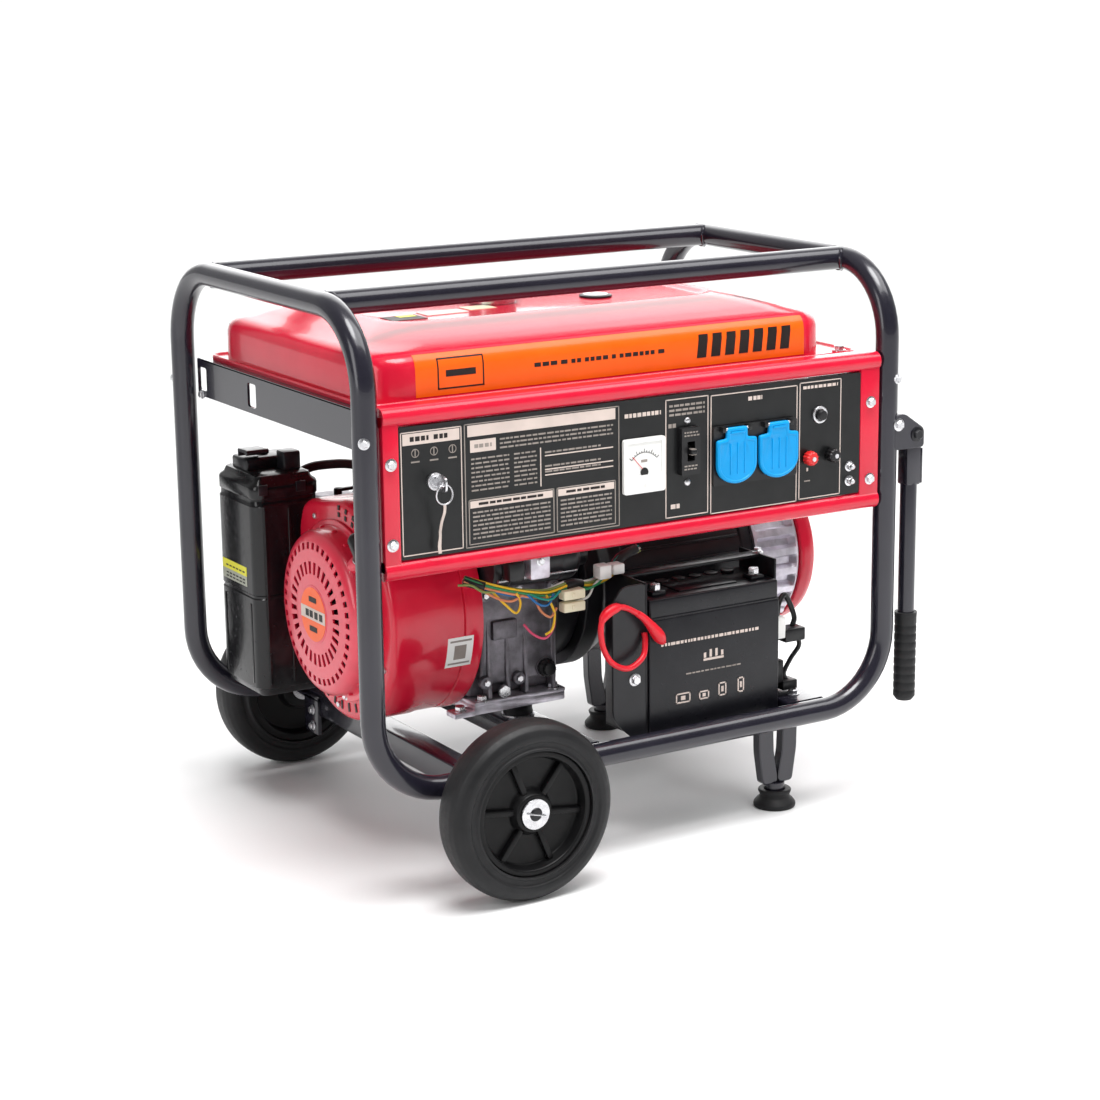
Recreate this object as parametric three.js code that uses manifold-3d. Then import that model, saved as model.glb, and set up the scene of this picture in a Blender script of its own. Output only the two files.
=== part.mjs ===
// Open-frame portable generator on two wheels: tube frame, fuel tank, control panel,
// single-cylinder engine, alternator, starting battery and two folding handles.
// Millimetres, +Z up. X runs along the crankshaft: the recoil starter faces -X and the
// alternator end faces +X. The control panel faces -Y. The floor is z = 0.
import * as THREE from 'three';
import { mergeVertices } from 'three/addons/utils/BufferGeometryUtils.js';
import Module from 'manifold-3d';

const wasm = await Module();
wasm.setup();

// ---------------------------------------------------------------- driving dimensions
const GAP = 0.3;                    // clearance kept between neighbouring pieces

const FRAME_L = 676;                // hoop centre to hoop centre, along X
const FRAME_W = 458;                // post centre to post centre, along Y
const TUBE_R = 13.5;
const BEND_R = 85;                  // centreline radius of every frame bend
const RAIL_Z = 122;                 // bottom rail centreline
const TOP_Z = 639;                  // hoop and top rail centreline
const TOP_RAIL_Y = 142;
const WELD_Z = RAIL_Z + BEND_R + 8; // where each post meets its bottom rail
const HX = FRAME_L / 2;
const HY = FRAME_W / 2;

const WHEEL_R = 100;
const WHEEL_W = 48;
const RIM_R = 70;                   // bore of the tyre
const AXLE_X = -187;
const AXLE_R = 8;
const WHEEL_OUT_Y = 310;            // outer face of each wheel
const WHEEL_SIDES = 24;

const FOOT_X = 212;                 // support legs and rubber feet
const FOOT_Y = 190;
const FOOT_H = 22;
const FOOT_R = 25;
const LEG_NECK_R = 12;
const ENGINE_X = -75;               // engine cross member
const ENGINE_MOUNT_Y = 80;
const ALTERNATOR_X = 237;           // alternator cross member
const ALTERNATOR_MOUNT_Y = 62;
const BEAM_H = 24;
const BEAM_W = 50;
const BEAM_TOP_Z = RAIL_Z + BEAM_H / 2;
const MOUNT_TOP_Z = 152;            // top of the rubber mounts

const HANDLE_X = 374;
const HANDLE_Z = 440;               // pivot of the folding handles
const HANDLE_R = 10;
const GRIP_R = 13.5;
const GRIP_TOP_Z = 224;
const GRIP_END_Z = 115;

const TANK_X0 = -312;
const TANK_X1 = 283;
const TANK_Y = 200;
const TANK_FLANGE_Z = 534;
const TANK_SHOULDER_Z = 586;
const TANK_TOP_Z = 607;
const TANK_SKIN = 2.5;
const CAP_X = -60;
const CAP_Y = -10;

const PANEL_X = 322;                // half length of the panel frame
const PANEL_Z0 = 358;
const PANEL_Z1 = 541;
const PANEL_FRONT = -240;
const PLATE_Y = -236;               // front face of the black plate
const PLATE_T = 3;

const SHAFT_Y = -8;                 // crankshaft line
const SHAFT_Z = 270;
const SHAFT_R = 17;
const HOUSING_R = 128;
const HOUSING_BACK_Y = 97;          // flat back of the blower housing
const HOUSING_X0 = -262;
const HOUSING_X1 = -150;
const RECOIL_X = -296;
const RECOIL_R = 95;
const CASE_X1 = 0;
const CASE_WALL_X = -30;            // right wall of the square part of the crankcase
const STATOR_R = 92;
const STATOR_X1 = 245;
const BELL_X1 = 312;
const COVER_X1 = 341;
const BLADES = 8;                   // on the cooling fan
const FAN_R = 97;
const CYLINDER_TILT = 25;           // degrees above the horizontal, leaning to +Y

const BATTERY = { x0: 24, x1: 205, y0: -206, y1: -129, z0: 120, z1: 283 };

const BOX_MIN_X = -HX - TUBE_R;
const BOX_MAX_X = HANDLE_X + GRIP_R;

// ---------------------------------------------------------------- materials
function paint(color, roughness, metalness = 0) {
  return new THREE.MeshStandardMaterial({ color, roughness, metalness });
}
const FRAME_GREY = paint(0x3c3b45, 0.32, 0.3);
const RED = paint(0xd3203c, 0.28, 0.1);
const BLACK = paint(0x17171a, 0.55);
const PANEL_BLACK = paint(0x101214, 0.5);
const RUBBER = paint(0x1b1b1d, 0.85);
const ALUMINIUM = paint(0x9a989f, 0.45, 0.7);
const STEEL = paint(0xb4b4b8, 0.35, 0.9);
const WHITE = paint(0xf2f2f0, 0.4);
const BLUE = paint(0x1389e0, 0.4);
const CABLE_RED = paint(0xd81828, 0.45);

// ---------------------------------------------------------------- solids
function solid(geometry) {
  const plain = geometry.clone();
  plain.deleteAttribute('normal');
  plain.deleteAttribute('uv');
  const merged = mergeVertices(plain, 1e-4);
  return new wasm.Manifold(new wasm.Mesh({
    numProp: 3,
    vertProperties: new Float32Array(merged.attributes.position.array),
    triVerts: new Uint32Array(merged.index.array),
  }));
}

function union(...geometries) {
  return geometries.slice(1).reduce((sum, next) => sum.add(solid(next)), solid(geometries[0]));
}

function cut(body, ...tools) {
  return tools.reduce((rest, tool) => rest.subtract(solid(tool)), body);
}

function toGeometry(body) {
  const out = body.getMesh();
  const geometry = new THREE.BufferGeometry();
  geometry.setAttribute('position', new THREE.BufferAttribute(new Float32Array(out.vertProperties), 3));
  geometry.setIndex(new THREE.BufferAttribute(new Uint32Array(out.triVerts), 1));
  geometry.computeVertexNormals();
  return geometry;
}

function box(x0, x1, y0, y1, z0, z1) {
  return new THREE.BoxGeometry(x1 - x0, y1 - y0, z1 - z0)
    .translate((x0 + x1) / 2, (y0 + y1) / 2, (z0 + z1) / 2);
}

function cylinderZ(r, z0, z1, x = 0, y = 0, sides = 20, rTop = r) {
  return new THREE.CylinderGeometry(rTop, r, z1 - z0, sides)
    .rotateX(Math.PI / 2)
    .translate(x, y, (z0 + z1) / 2);
}

function cylinderX(r, x0, x1, y = SHAFT_Y, z = SHAFT_Z, sides = 24) {
  return new THREE.CylinderGeometry(r, r, x1 - x0, sides)
    .rotateZ(Math.PI / 2)
    .translate((x0 + x1) / 2, y, z);
}

function cylinderY(r, y0, y1, x, z, sides = 20) {
  return new THREE.CylinderGeometry(r, r, y1 - y0, sides).translate(x, (y0 + y1) / 2, z);
}

// profile: [radius, position along X] pairs, turned about the crankshaft line
function lathedX(profile, sides = 24) {
  const points = profile.map(([r, x]) => new THREE.Vector2(r, x));
  return new THREE.LatheGeometry(points, sides)
    .rotateZ(-Math.PI / 2)
    .translate(0, SHAFT_Y, SHAFT_Z);
}

// rectangle with round corners, drawn in XY and raised from z0 to z1
function slab(x0, x1, y0, y1, z0, z1, r, options = {}) {
  const outline = new THREE.Shape();
  outline.moveTo(x0 + r, y0);
  outline.lineTo(x1 - r, y0);
  outline.absarc(x1 - r, y0 + r, r, -Math.PI / 2, 0);
  outline.lineTo(x1, y1 - r);
  outline.absarc(x1 - r, y1 - r, r, 0, Math.PI / 2);
  outline.lineTo(x0 + r, y1);
  outline.absarc(x0 + r, y1 - r, r, Math.PI / 2, Math.PI);
  outline.lineTo(x0, y0 + r);
  outline.absarc(x0 + r, y0 + r, r, Math.PI, 1.5 * Math.PI);
  const settings = { depth: z1 - z0, bevelEnabled: false, curveSegments: 4, ...options };
  return new THREE.ExtrudeGeometry(outline, settings).translate(0, 0, z0);
}

// the same slab standing up: drawn in XZ, with its front at y0 and its back at y1
function standingSlab(x0, x1, z0, z1, y0, y1, r, options = {}) {
  return slab(x0, x1, z0, z1, 0, y1 - y0, r, options).rotateX(Math.PI / 2).translate(0, y1, 0);
}

// outline in YZ, given as [y, z] pairs, extruded along X
function prismX(outline, x0, x1, options = {}) {
  const drawn = outline instanceof THREE.Shape;
  const shape = drawn ? outline : new THREE.Shape(outline.map(([y, z]) => new THREE.Vector2(y, z)));
  return new THREE.ExtrudeGeometry(shape, { depth: x1 - x0, bevelEnabled: false, ...options })
    .rotateX(Math.PI / 2)
    .rotateZ(Math.PI / 2)
    .translate(x0, 0, 0);
}

// outline in XZ, given as [x, z] pairs, extruded along Y
function prismY(outline, y0, y1) {
  const shape = new THREE.Shape(outline.map(([x, z]) => new THREE.Vector2(x, z)));
  return new THREE.ExtrudeGeometry(shape, { depth: y1 - y0, bevelEnabled: false })
    .rotateX(Math.PI / 2)
    .translate(0, y1, 0);
}

// A bent tube's centreline: straight runs between corners, each corner a circular bend.
class BentLine extends THREE.Curve {
  constructor(corners, radius, arcSteps = 4) {
    super();
    this.stations = [corners[0]];
    for (let i = 1; i < corners.length - 1; i += 1) {
      const back = corners[i - 1].clone().sub(corners[i]).normalize();
      const ahead = corners[i + 1].clone().sub(corners[i]).normalize();
      const half = back.angleTo(ahead) / 2;
      const centre = back.clone().add(ahead).normalize()
        .multiplyScalar(radius / Math.sin(half)).add(corners[i]);
      const start = corners[i].clone().addScaledVector(back, radius / Math.tan(half)).sub(centre);
      const turnAxis = back.clone().negate().cross(ahead).normalize();
      for (let k = 0; k <= arcSteps; k += 1) {
        const turn = (k / arcSteps) * (Math.PI - 2 * half);
        this.stations.push(start.clone().applyAxisAngle(turnAxis, turn).add(centre));
      }
    }
    this.stations.push(corners[corners.length - 1]);
  }

  getPoint(t, target = new THREE.Vector3()) {
    const last = this.stations.length - 1;
    const place = Math.min(Math.max(t, 0), 1) * last;
    const i = Math.min(Math.floor(place), last - 1);
    return target.copy(this.stations[i]).lerp(this.stations[i + 1], place - i);
  }

  getUtoTmapping(u) {
    return u;
  }
}

function disc(r, sides) {
  const outline = new THREE.Shape();
  for (let i = 0; i < sides; i += 1) {
    const angle = (2 * Math.PI * i) / sides;
    const [x, y] = [r * Math.cos(angle), r * Math.sin(angle)];
    if (i === 0) outline.moveTo(x, y);
    else outline.lineTo(x, y);
  }
  outline.closePath();
  return outline;
}

function bentTube(corners, r, bendR, sides = 12) {
  const line = new BentLine(corners.map((c) => new THREE.Vector3(...c)), bendR);
  const steps = line.stations.length - 1;
  return new THREE.ExtrudeGeometry(disc(r, sides), { steps, bevelEnabled: false, extrudePath: line });
}

function cable(points, r, steps, sides = 8) {
  const line = new THREE.CatmullRomCurve3(points.map((p) => new THREE.Vector3(...p)));
  return new THREE.ExtrudeGeometry(disc(r, sides), { steps, bevelEnabled: false, extrudePath: line });
}

// ---------------------------------------------------------------- assembly helpers
const generator = new THREE.Group();
generator.name = 'generator';
generator.position.x = -(BOX_MIN_X + BOX_MAX_X) / 2;

function add(name, shape, material) {
  const geometry = shape.isBufferGeometry ? shape : toGeometry(shape);
  const mesh = new THREE.Mesh(geometry, material);
  mesh.name = name;
  generator.add(mesh);
  return mesh;
}

const SIDES = [['front', -1], ['back', 1]];

// ---------------------------------------------------------------- tube frame
function endHoop(sideX) {
  const x = sideX * HX;
  const foot = WELD_Z + GAP / 2;
  const corners = [[x, -HY, foot], [x, -HY, TOP_Z], [x, HY, TOP_Z], [x, HY, foot]];
  return bentTube(corners, TUBE_R, BEND_R);
}

function bottomRail(sideY) {
  const y = sideY * HY;
  const end = WELD_Z - GAP / 2;
  return bentTube([[-HX, y, end], [-HX, y, RAIL_Z], [HX, y, RAIL_Z], [HX, y, end]], TUBE_R, BEND_R);
}

function handleBracket(sideY) {
  const y = sideY * HY;
  const [low, high] = [HANDLE_Z - 16, HANDLE_Z + 26];
  const earEdge = HANDLE_X + 11;
  const ear = [[HX, low], [earEdge, low], [earEdge, HANDLE_Z + 6], [HANDLE_X - 18, high], [HX, high]];
  const pivotHole = cylinderY(4.4, y - 20, y + 20, HANDLE_X, HANDLE_Z, 12);
  const ears = [-1, 1].map((side) => {
    const inner = y + side * (HANDLE_R + 0.5);
    const outer = inner + side * 3;
    return prismY(ear, Math.min(inner, outer), Math.max(inner, outer));
  });
  const web = box(HX, HX + TUBE_R + 2.5, y - HANDLE_R - 3, y + HANDLE_R + 3, low, high);
  return cut(union(...ears, web), pivotHole);
}

function buildFrame() {
  add('left_end_hoop', endHoop(-1), FRAME_GREY);
  const rightHoop = solid(endHoop(1)).add(handleBracket(-1)).add(handleBracket(1));
  add('right_end_hoop', rightHoop, FRAME_GREY);
  for (const [side, sign] of SIDES) {
    add(`${side}_bottom_rail`, bottomRail(sign), FRAME_GREY);
    const reach = HX - TUBE_R - GAP;
    add(`${side}_top_rail`, cylinderX(TUBE_R, -reach, reach, sign * TOP_RAIL_Y, TOP_Z, 12), FRAME_GREY);
  }
}

function crossMember(x) {
  const end = HY - TUBE_R - GAP;
  const z0 = RAIL_Z - BEAM_H / 2;
  const outer = box(x - BEAM_W / 2, x + BEAM_W / 2, -end, end, z0, z0 + BEAM_H);
  const inside = box(x - BEAM_W / 2 + 3, x + BEAM_W / 2 - 3, -end - 1, end + 1, z0 - 1, z0 + BEAM_H - 3);
  return cut(solid(outer), inside);
}

function supportLeg(sideY) {
  const y = sideY * FOOT_Y;
  const depth = 7;                      // half thickness of the bars
  const top = RAIL_Z - TUBE_R;
  const crotch = FOOT_H + 18;
  const bars = [-1, 1].map((side) => prismY([
    [FOOT_X + side * 7, top], [FOOT_X + side * 28, top], [FOOT_X + side * 21, FOOT_H + 8],
    [FOOT_X, FOOT_H + 8], [FOOT_X, crotch],
  ], y - depth, y + depth));
  const plate = box(FOOT_X - 28, ALTERNATOR_X + BEAM_W / 2, y - depth, y + depth, top - 2, top + 4);
  const neck = cylinderZ(LEG_NECK_R, FOOT_H - 12, FOOT_H + 10, FOOT_X, y, 16);
  return union(...bars, plate, neck);
}

const MOUNTS = [
  ['engine', ENGINE_X, ENGINE_MOUNT_Y, 19],
  ['alternator', ALTERNATOR_X, ALTERNATOR_MOUNT_Y, 17],
];

function buildChassis() {
  add('engine_cross_member', crossMember(ENGINE_X), FRAME_GREY);
  const member = crossMember(ALTERNATOR_X).add(supportLeg(-1)).add(supportLeg(1));
  add('alternator_cross_member', member, FRAME_GREY);
  for (const [side, sign] of SIDES) {
    const y = sign * FOOT_Y;
    const waist = FOOT_R - 7;
    const foot = cut(
      union(cylinderZ(FOOT_R, 0, 5, FOOT_X, y, 24), cylinderZ(FOOT_R, 5, 12, FOOT_X, y, 24, waist),
        cylinderZ(waist, 12, FOOT_H, FOOT_X, y, 24, waist + 2)),
      cylinderZ(LEG_NECK_R + GAP, FOOT_H - 12 - GAP, FOOT_H + 1, FOOT_X, y, 16),
    );
    add(`${side}_foot`, foot, RUBBER);
    for (const [name, x, mountY, r] of MOUNTS) {
      const mount = cylinderZ(r, BEAM_TOP_Z + GAP, MOUNT_TOP_Z, x, sign * mountY, 20);
      add(`${name}_mount_${side}`, mount, RUBBER);
    }
  }
}

// ---------------------------------------------------------------- axle and wheels
function buildAxle() {
  const beamEnd = HY - TUBE_R - GAP;
  const hubIn = WHEEL_OUT_Y - WHEEL_W - 3;
  const parts = [
    box(AXLE_X - 15, AXLE_X + 15, -beamEnd, beamEnd, WHEEL_R - 15, WHEEL_R + 15),
    cylinderY(AXLE_R, -WHEEL_OUT_Y + 1, WHEEL_OUT_Y - 1, AXLE_X, WHEEL_R, 16),
  ];
  for (const [, sign] of SIDES) {
    const span = (a, b) => [Math.min(sign * a, sign * b), Math.max(sign * a, sign * b)];
    const bracketZ1 = RAIL_Z - TUBE_R - GAP;
    parts.push(cylinderY(17, ...span(WHEEL_OUT_Y - 5, WHEEL_OUT_Y - 2.4), AXLE_X, WHEEL_R, 20));
    parts.push(cylinderY(14, ...span(hubIn - 4, hubIn - 1), AXLE_X, WHEEL_R, 20));
    parts.push(box(AXLE_X - 19, AXLE_X - 14, ...span(178, beamEnd), 62, WHEEL_R + 10));
    parts.push(box(AXLE_X - 19, AXLE_X + 15, ...span(178, HY + 12), bracketZ1 - 4, bracketZ1));
  }
  add('axle', union(...parts), FRAME_GREY);
}

function wheelRim(sign) {
  const outer = WHEEL_OUT_Y;
  const inner = WHEEL_OUT_Y - WHEEL_W;
  const bore = (AXLE_R + 0.2) / Math.cos(Math.PI / WHEEL_SIDES);
  // radius and distance from the object's middle, once round the rim's section
  const section = [
    [bore, inner - 3], [26, inner - 3], [28, inner + 12], [58, inner + 16], [60, inner + 2],
    [RIM_R, inner + 2], [RIM_R, outer - 4], [63, outer - 4], [60, outer - 16],
    [26, outer - 16], [21, outer - 5.5], [bore, outer - 5.5], [bore, inner - 3],
  ].map(([r, y]) => new THREE.Vector2(r, y));
  let rim = solid(new THREE.LatheGeometry(section, WHEEL_SIDES));
  for (let i = 0; i < 6; i += 1) {
    const rib = box(20, 62, outer - 20, outer - 8, -3.5, 3.5).rotateY((i * Math.PI) / 3);
    rim = rim.add(solid(rib));
  }
  const geometry = toGeometry(rim);
  if (sign < 0) geometry.rotateX(Math.PI);
  return geometry.translate(AXLE_X, 0, WHEEL_R);
}

function wheelTyre(sign) {
  const outer = WHEEL_OUT_Y;
  const inner = WHEEL_OUT_Y - WHEEL_W;
  const bore = RIM_R + GAP;
  const section = [
    [bore, inner], [88, inner], [96, inner + 5], [WHEEL_R, inner + 15], [WHEEL_R, outer - 15],
    [96, outer - 5], [88, outer], [bore, outer], [bore, inner],
  ].map(([r, y]) => new THREE.Vector2(r, y));
  const geometry = new THREE.LatheGeometry(section, WHEEL_SIDES);
  if (sign < 0) geometry.rotateX(Math.PI);
  return geometry.translate(AXLE_X, 0, WHEEL_R);
}

function buildWheels() {
  for (const [side, sign] of SIDES) {
    add(`${side}_wheel_rim`, wheelRim(sign), BLACK);
    add(`${side}_wheel_tyre`, wheelTyre(sign), RUBBER);
  }
}

// ---------------------------------------------------------------- folding handles
function buildHandles() {
  for (const [side, sign] of SIDES) {
    const y = sign * HY;
    const eye = cylinderY(10.5, y - HANDLE_R, y + HANDLE_R, HANDLE_X, HANDLE_Z, 16);
    const bolt = cylinderY(3.8, y - 17, y + 17, HANDLE_X, HANDLE_Z, 10);
    const heads = [-1, 1].map((end) => {
      const [a, b] = [y + end * 14, y + end * 19];
      return cylinderY(6.5, Math.min(a, b), Math.max(a, b), HANDLE_X, HANDLE_Z, 6);
    });
    const socket = box(HANDLE_X - 10, HANDLE_X + 10, y - 10, y + 10, HANDLE_Z - 62, HANDLE_Z - 4);
    const tube = cylinderZ(HANDLE_R, GRIP_END_Z + 6, HANDLE_Z - 55, HANDLE_X, y, 16);
    add(`${side}_handle`, union(eye, socket, tube, bolt, ...heads), FRAME_GREY);
    const grip = cut(
      union(cylinderZ(GRIP_R, GRIP_END_Z + 4, GRIP_TOP_Z, HANDLE_X, y, 20),
        cylinderZ(10, GRIP_END_Z, GRIP_END_Z + 4, HANDLE_X, y, 20, GRIP_R)),
      cylinderZ(HANDLE_R + GAP, GRIP_END_Z + 6 - GAP, GRIP_TOP_Z + 1, HANDLE_X, y, 16),
    );
    add(`${side}_handle_grip`, grip, RUBBER);
  }
}

// ---------------------------------------------------------------- fuel tank
function buildTankBrackets() {
  const top = TANK_FLANGE_Z - GAP;
  const end = HY - TUBE_R - GAP;
  for (const [side, sign] of [['left', -1], ['right', 1]]) {
    const plateX = sign * (HX - TUBE_R + 2);
    const inX = plateX - sign * 3;
    const lipX = plateX - sign * 34;
    const plate = box(Math.min(plateX, inX), Math.max(plateX, inX), -end, end, 490, top);
    const lip = box(Math.min(plateX, lipX), Math.max(plateX, lipX), -end + 12, end - 12, top - 3, top);
    const slots = [208, 68].map((y) => box(plateX - 12, plateX + 12, y - 11, y + 11, 497, 524));
    add(`tank_bracket_${side}`, cut(union(plate, lip), ...slots), FRAME_GREY);
  }
}

// the two crowned tank halves and their welded flange, grown by `grow` on every side
function tankBody(grow) {
  const [x0, x1, y] = [TANK_X0 - grow, TANK_X1 + grow, TANK_Y + grow];
  const hip = 76;
  const edge = 8;
  const crownRise = TANK_TOP_Z - TANK_SHOULDER_Z + 1;
  const upper = slab(x0 + edge, x1 - edge, -y + edge, y - edge, TANK_FLANGE_Z - edge,
    TANK_SHOULDER_Z - edge + grow, 42, {
      bevelEnabled: true, bevelThickness: edge, bevelSize: edge, bevelSegments: 1, curveSegments: 3,
    });
  const crown = slab(x0 + 14 + hip, x1 - 14 - hip, -y + 14 + hip, y - 14 - hip,
    TANK_SHOULDER_Z - 4 + grow, TANK_SHOULDER_Z - 2 + grow, 20, {
      bevelEnabled: true, bevelThickness: crownRise, bevelSize: hip, bevelSegments: 2, curveSegments: 2,
    });
  const floor = TANK_FLANGE_Z - grow;
  const aboveFlange = solid(box(x0 - 1, x1 + 1, -y - 1, y + 1, floor, TANK_TOP_Z + 20));
  const pan = slab(x0 + 26, x1 - 4, -y + 14, y - 14, 502 - grow, TANK_FLANGE_Z + 3, 36, { curveSegments: 3 });
  return union(upper, crown).intersect(aboveFlange).add(solid(pan));
}

function buildTank() {
  const flange = slab(-318, 318, -203, 203, TANK_FLANGE_Z, TANK_FLANGE_Z + 3, 14, { curveSegments: 2 });
  const neck = cylinderZ(27, TANK_SHOULDER_Z, TANK_TOP_Z + 4, CAP_X, CAP_Y, 24);
  const filler = cylinderZ(22, TANK_SHOULDER_Z - 20, TANK_TOP_Z + 10, CAP_X, CAP_Y, 24);
  const tank = cut(tankBody(0).add(solid(flange)).add(solid(neck)).subtract(tankBody(-TANK_SKIN)), filler);
  add('fuel_tank', tank, RED);
  const cap = cut(
    union(cylinderZ(33, TANK_TOP_Z + 3, TANK_TOP_Z + 17, CAP_X, CAP_Y, 24),
      cylinderZ(33, TANK_TOP_Z + 17, TANK_TOP_Z + 20, CAP_X, CAP_Y, 24, 29)),
    cylinderZ(27 + 0.8, TANK_TOP_Z + 2, TANK_TOP_Z + 4 + GAP, CAP_X, CAP_Y, 24),
  );
  add('fuel_cap', cap, BLACK);
  const tapX = -215;
  const tapY = -150;
  const tap = union(
    cylinderZ(6, 478, 502 - GAP, tapX, tapY, 12),
    box(tapX - 5, tapX + 5, tapY - 26, tapY + 5, 470, 478),
  );
  add('fuel_tap_lever', tap, BLACK);
}

// ---------------------------------------------------------------- control panel
const SOCKETS = [['left', 116], ['right', 173.5]];
const SOCKET_Z = 445;
const KEY = { x: -262, z: 459 };
const BREAKER = { x: 55, z: 456 };
const BUTTON = { x: 236, z: 477 };
const TERMINALS = [['red', 220, CABLE_RED], ['black', 252, BLACK]];
const TERMINAL_Z = 429;

function buildPanel() {
  const barH = 21;
  const bars = [PANEL_Z0, PANEL_Z1 - barH].map((z0) => {
    const section = new THREE.Shape();
    section.moveTo(7, 0);
    section.lineTo(24, 0);
    section.lineTo(24, barH);
    section.lineTo(7, barH);
    section.absarc(7, barH - 7, 7, Math.PI / 2, Math.PI);
    section.lineTo(0, 7);
    section.absarc(7, 7, 7, Math.PI, 1.5 * Math.PI);
    return prismX(section, -PANEL_X, PANEL_X, { curveSegments: 3 }).translate(0, PANEL_FRONT, z0);
  });
  const sides = [[-PANEL_X, -303], [295, PANEL_X]].map(([x0, x1]) =>
    box(x0, x1, PANEL_FRONT + 3, PANEL_FRONT + 24, PANEL_Z0 + 5, PANEL_Z1 - 5));
  add('panel_frame', union(...bars, ...sides), RED);

  const plate = box(-303 + GAP, 295 - GAP, PLATE_Y, PLATE_Y + PLATE_T,
    PANEL_Z0 + barH + GAP, PANEL_Z1 - barH - GAP);
  const barrel = cylinderY(9, PLATE_Y - 4, PLATE_Y + 22, KEY.x, KEY.z, 20);
  const holes = [
    box(SOCKETS[0][1] - 29, SOCKETS[1][1] + 29, PLATE_Y - 5, PLATE_Y + 10, SOCKET_Z - 34, SOCKET_Z + 34),
    box(-29, 21, PLATE_Y - 5, PLATE_Y + 10, 419, 474),
    box(BREAKER.x - 13, BREAKER.x + 13, PLATE_Y - 5, PLATE_Y + 10, BREAKER.z - 27, BREAKER.z + 27),
    cylinderY(6.5, PLATE_Y - 5, PLATE_Y + 10, BUTTON.x, BUTTON.z, 16),
    box(KEY.x - 1.6, KEY.x + 1.6, PLATE_Y - 6, PLATE_Y + 16, KEY.z - 4.5, KEY.z + 4.5),
    cylinderY(5.2, PLATE_Y - 6, PLATE_Y + 16, KEY.x, KEY.z, 16),
    ...TERMINALS.map(([, x]) => cylinderY(4, PLATE_Y - 5, PLATE_Y + 10, x, TERMINAL_Z, 12)),
  ];
  add('panel_plate', cut(union(plate, barrel), ...holes), PANEL_BLACK);

  const meter = union(
    standingSlab(-32, 24, 415, 478, PLATE_Y - 5, PLATE_Y - GAP, 3, { curveSegments: 2 }),
    box(-28, 20, PLATE_Y - 1, PLATE_Y + 30, 420, 473),
  );
  add('voltmeter', meter, WHITE);
}

function buildBreaker() {
  const { x, z } = BREAKER;
  const slotHalf = 5;
  const body = cut(
    solid(box(x - 12.5, x + 12.5, PLATE_Y - 8, PLATE_Y + 40, z - 26.5, z + 26.5)),
    box(x - slotHalf, x + slotHalf, PLATE_Y - 12, PLATE_Y + 12, z - 11, z + 11),
  );
  add('breaker', body, BLACK);
  const pivotY = PLATE_Y + 2;
  const lever = union(
    cylinderX(6, x - 4.5, x + 4.5, pivotY, z, 16),
    box(x - 3.5, x + 3.5, PLATE_Y - 15, pivotY, z - 3.5, z + 3.5),
  );
  add('breaker_lever', lever, BLACK);
}

function buildSockets() {
  const [x0, x1] = [SOCKETS[0][1] - 28.5, SOCKETS[1][1] + 28.5];
  const face = PLATE_Y - 4;
  const top = SOCKET_Z + 33.5;
  const pinY = face - 3.5;
  const pinZ = SOCKET_Z + 30;
  const hingeEars = SOCKETS.flatMap(([, x]) => [x - 17.5, x + 17.5])
    .map((x) => box(x - 2.5, x + 2.5, face - 6, face + 1, pinZ - 3, top));
  const block = cut(
    union(box(x0, x1, face, PLATE_Y + 30, SOCKET_Z - 33.5, top), ...hingeEars),
    ...SOCKETS.map(([, x]) => cylinderY(20.5, face - 1, face + 18, x, SOCKET_Z - 3, 24)),
    ...SOCKETS.map(([, x]) => cylinderX(2.2, x - 25, x + 25, pinY, pinZ, 12)),
  );
  add('socket_block', block, BLACK);
  for (const [side, x] of SOCKETS) {
    const lidY0 = face - 7;
    const lidY1 = face - 1;
    const lid = union(
      standingSlab(x - 27, x + 27, SOCKET_Z - 32, SOCKET_Z + 23, lidY0, lidY1, 9, { curveSegments: 3 }),
      box(x - 14, x + 14, lidY0, lidY1 - 1, SOCKET_Z + 22, SOCKET_Z + 32),
      cylinderX(1.9, x - 19.8, x + 19.8, pinY, pinZ, 10),
    );
    add(`${side}_socket_lid`, lid, BLUE);
  }
}

function buildControls() {
  for (const [colour, x, material] of TERMINALS) {
    const knob = union(
      cylinderY(8.5, PLATE_Y - 14, PLATE_Y - GAP, x, TERMINAL_Z, 20),
      cylinderY(3.4, PLATE_Y - 1, PLATE_Y + 14, x, TERMINAL_Z, 12),
    );
    add(`dc_terminal_${colour}`, knob, material);
  }
  add('dc_reset_button', cylinderY(5.8, PLATE_Y - 9, PLATE_Y + 12, BUTTON.x, BUTTON.z, 16), BLACK);
  const bow = cut(
    union(
      cylinderX(11, KEY.x - 1.2, KEY.x + 1.2, PLATE_Y - 18, KEY.z, 20),
      box(KEY.x - 1.2, KEY.x + 1.2, PLATE_Y - 18, PLATE_Y + 14, KEY.z - 4, KEY.z + 4),
    ),
    cylinderX(3, KEY.x - 5, KEY.x + 5, PLATE_Y - 23, KEY.z, 12),
  );
  add('ignition_key', bow, STEEL);
}

// ---------------------------------------------------------------- engine
function onCylinderLine(geometry) {
  return geometry
    .rotateX(THREE.MathUtils.degToRad(CYLINDER_TILT))
    .translate(0, SHAFT_Y, SHAFT_Z);
}

// drawn straight up from the shaft line, then leaned 45 degrees towards the control panel
function onPullLine(geometry) {
  return geometry.rotateX(Math.PI / 4).translate(0, SHAFT_Y, SHAFT_Z);
}

const DIPSTICK = { x: -54, z: 194 };

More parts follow.
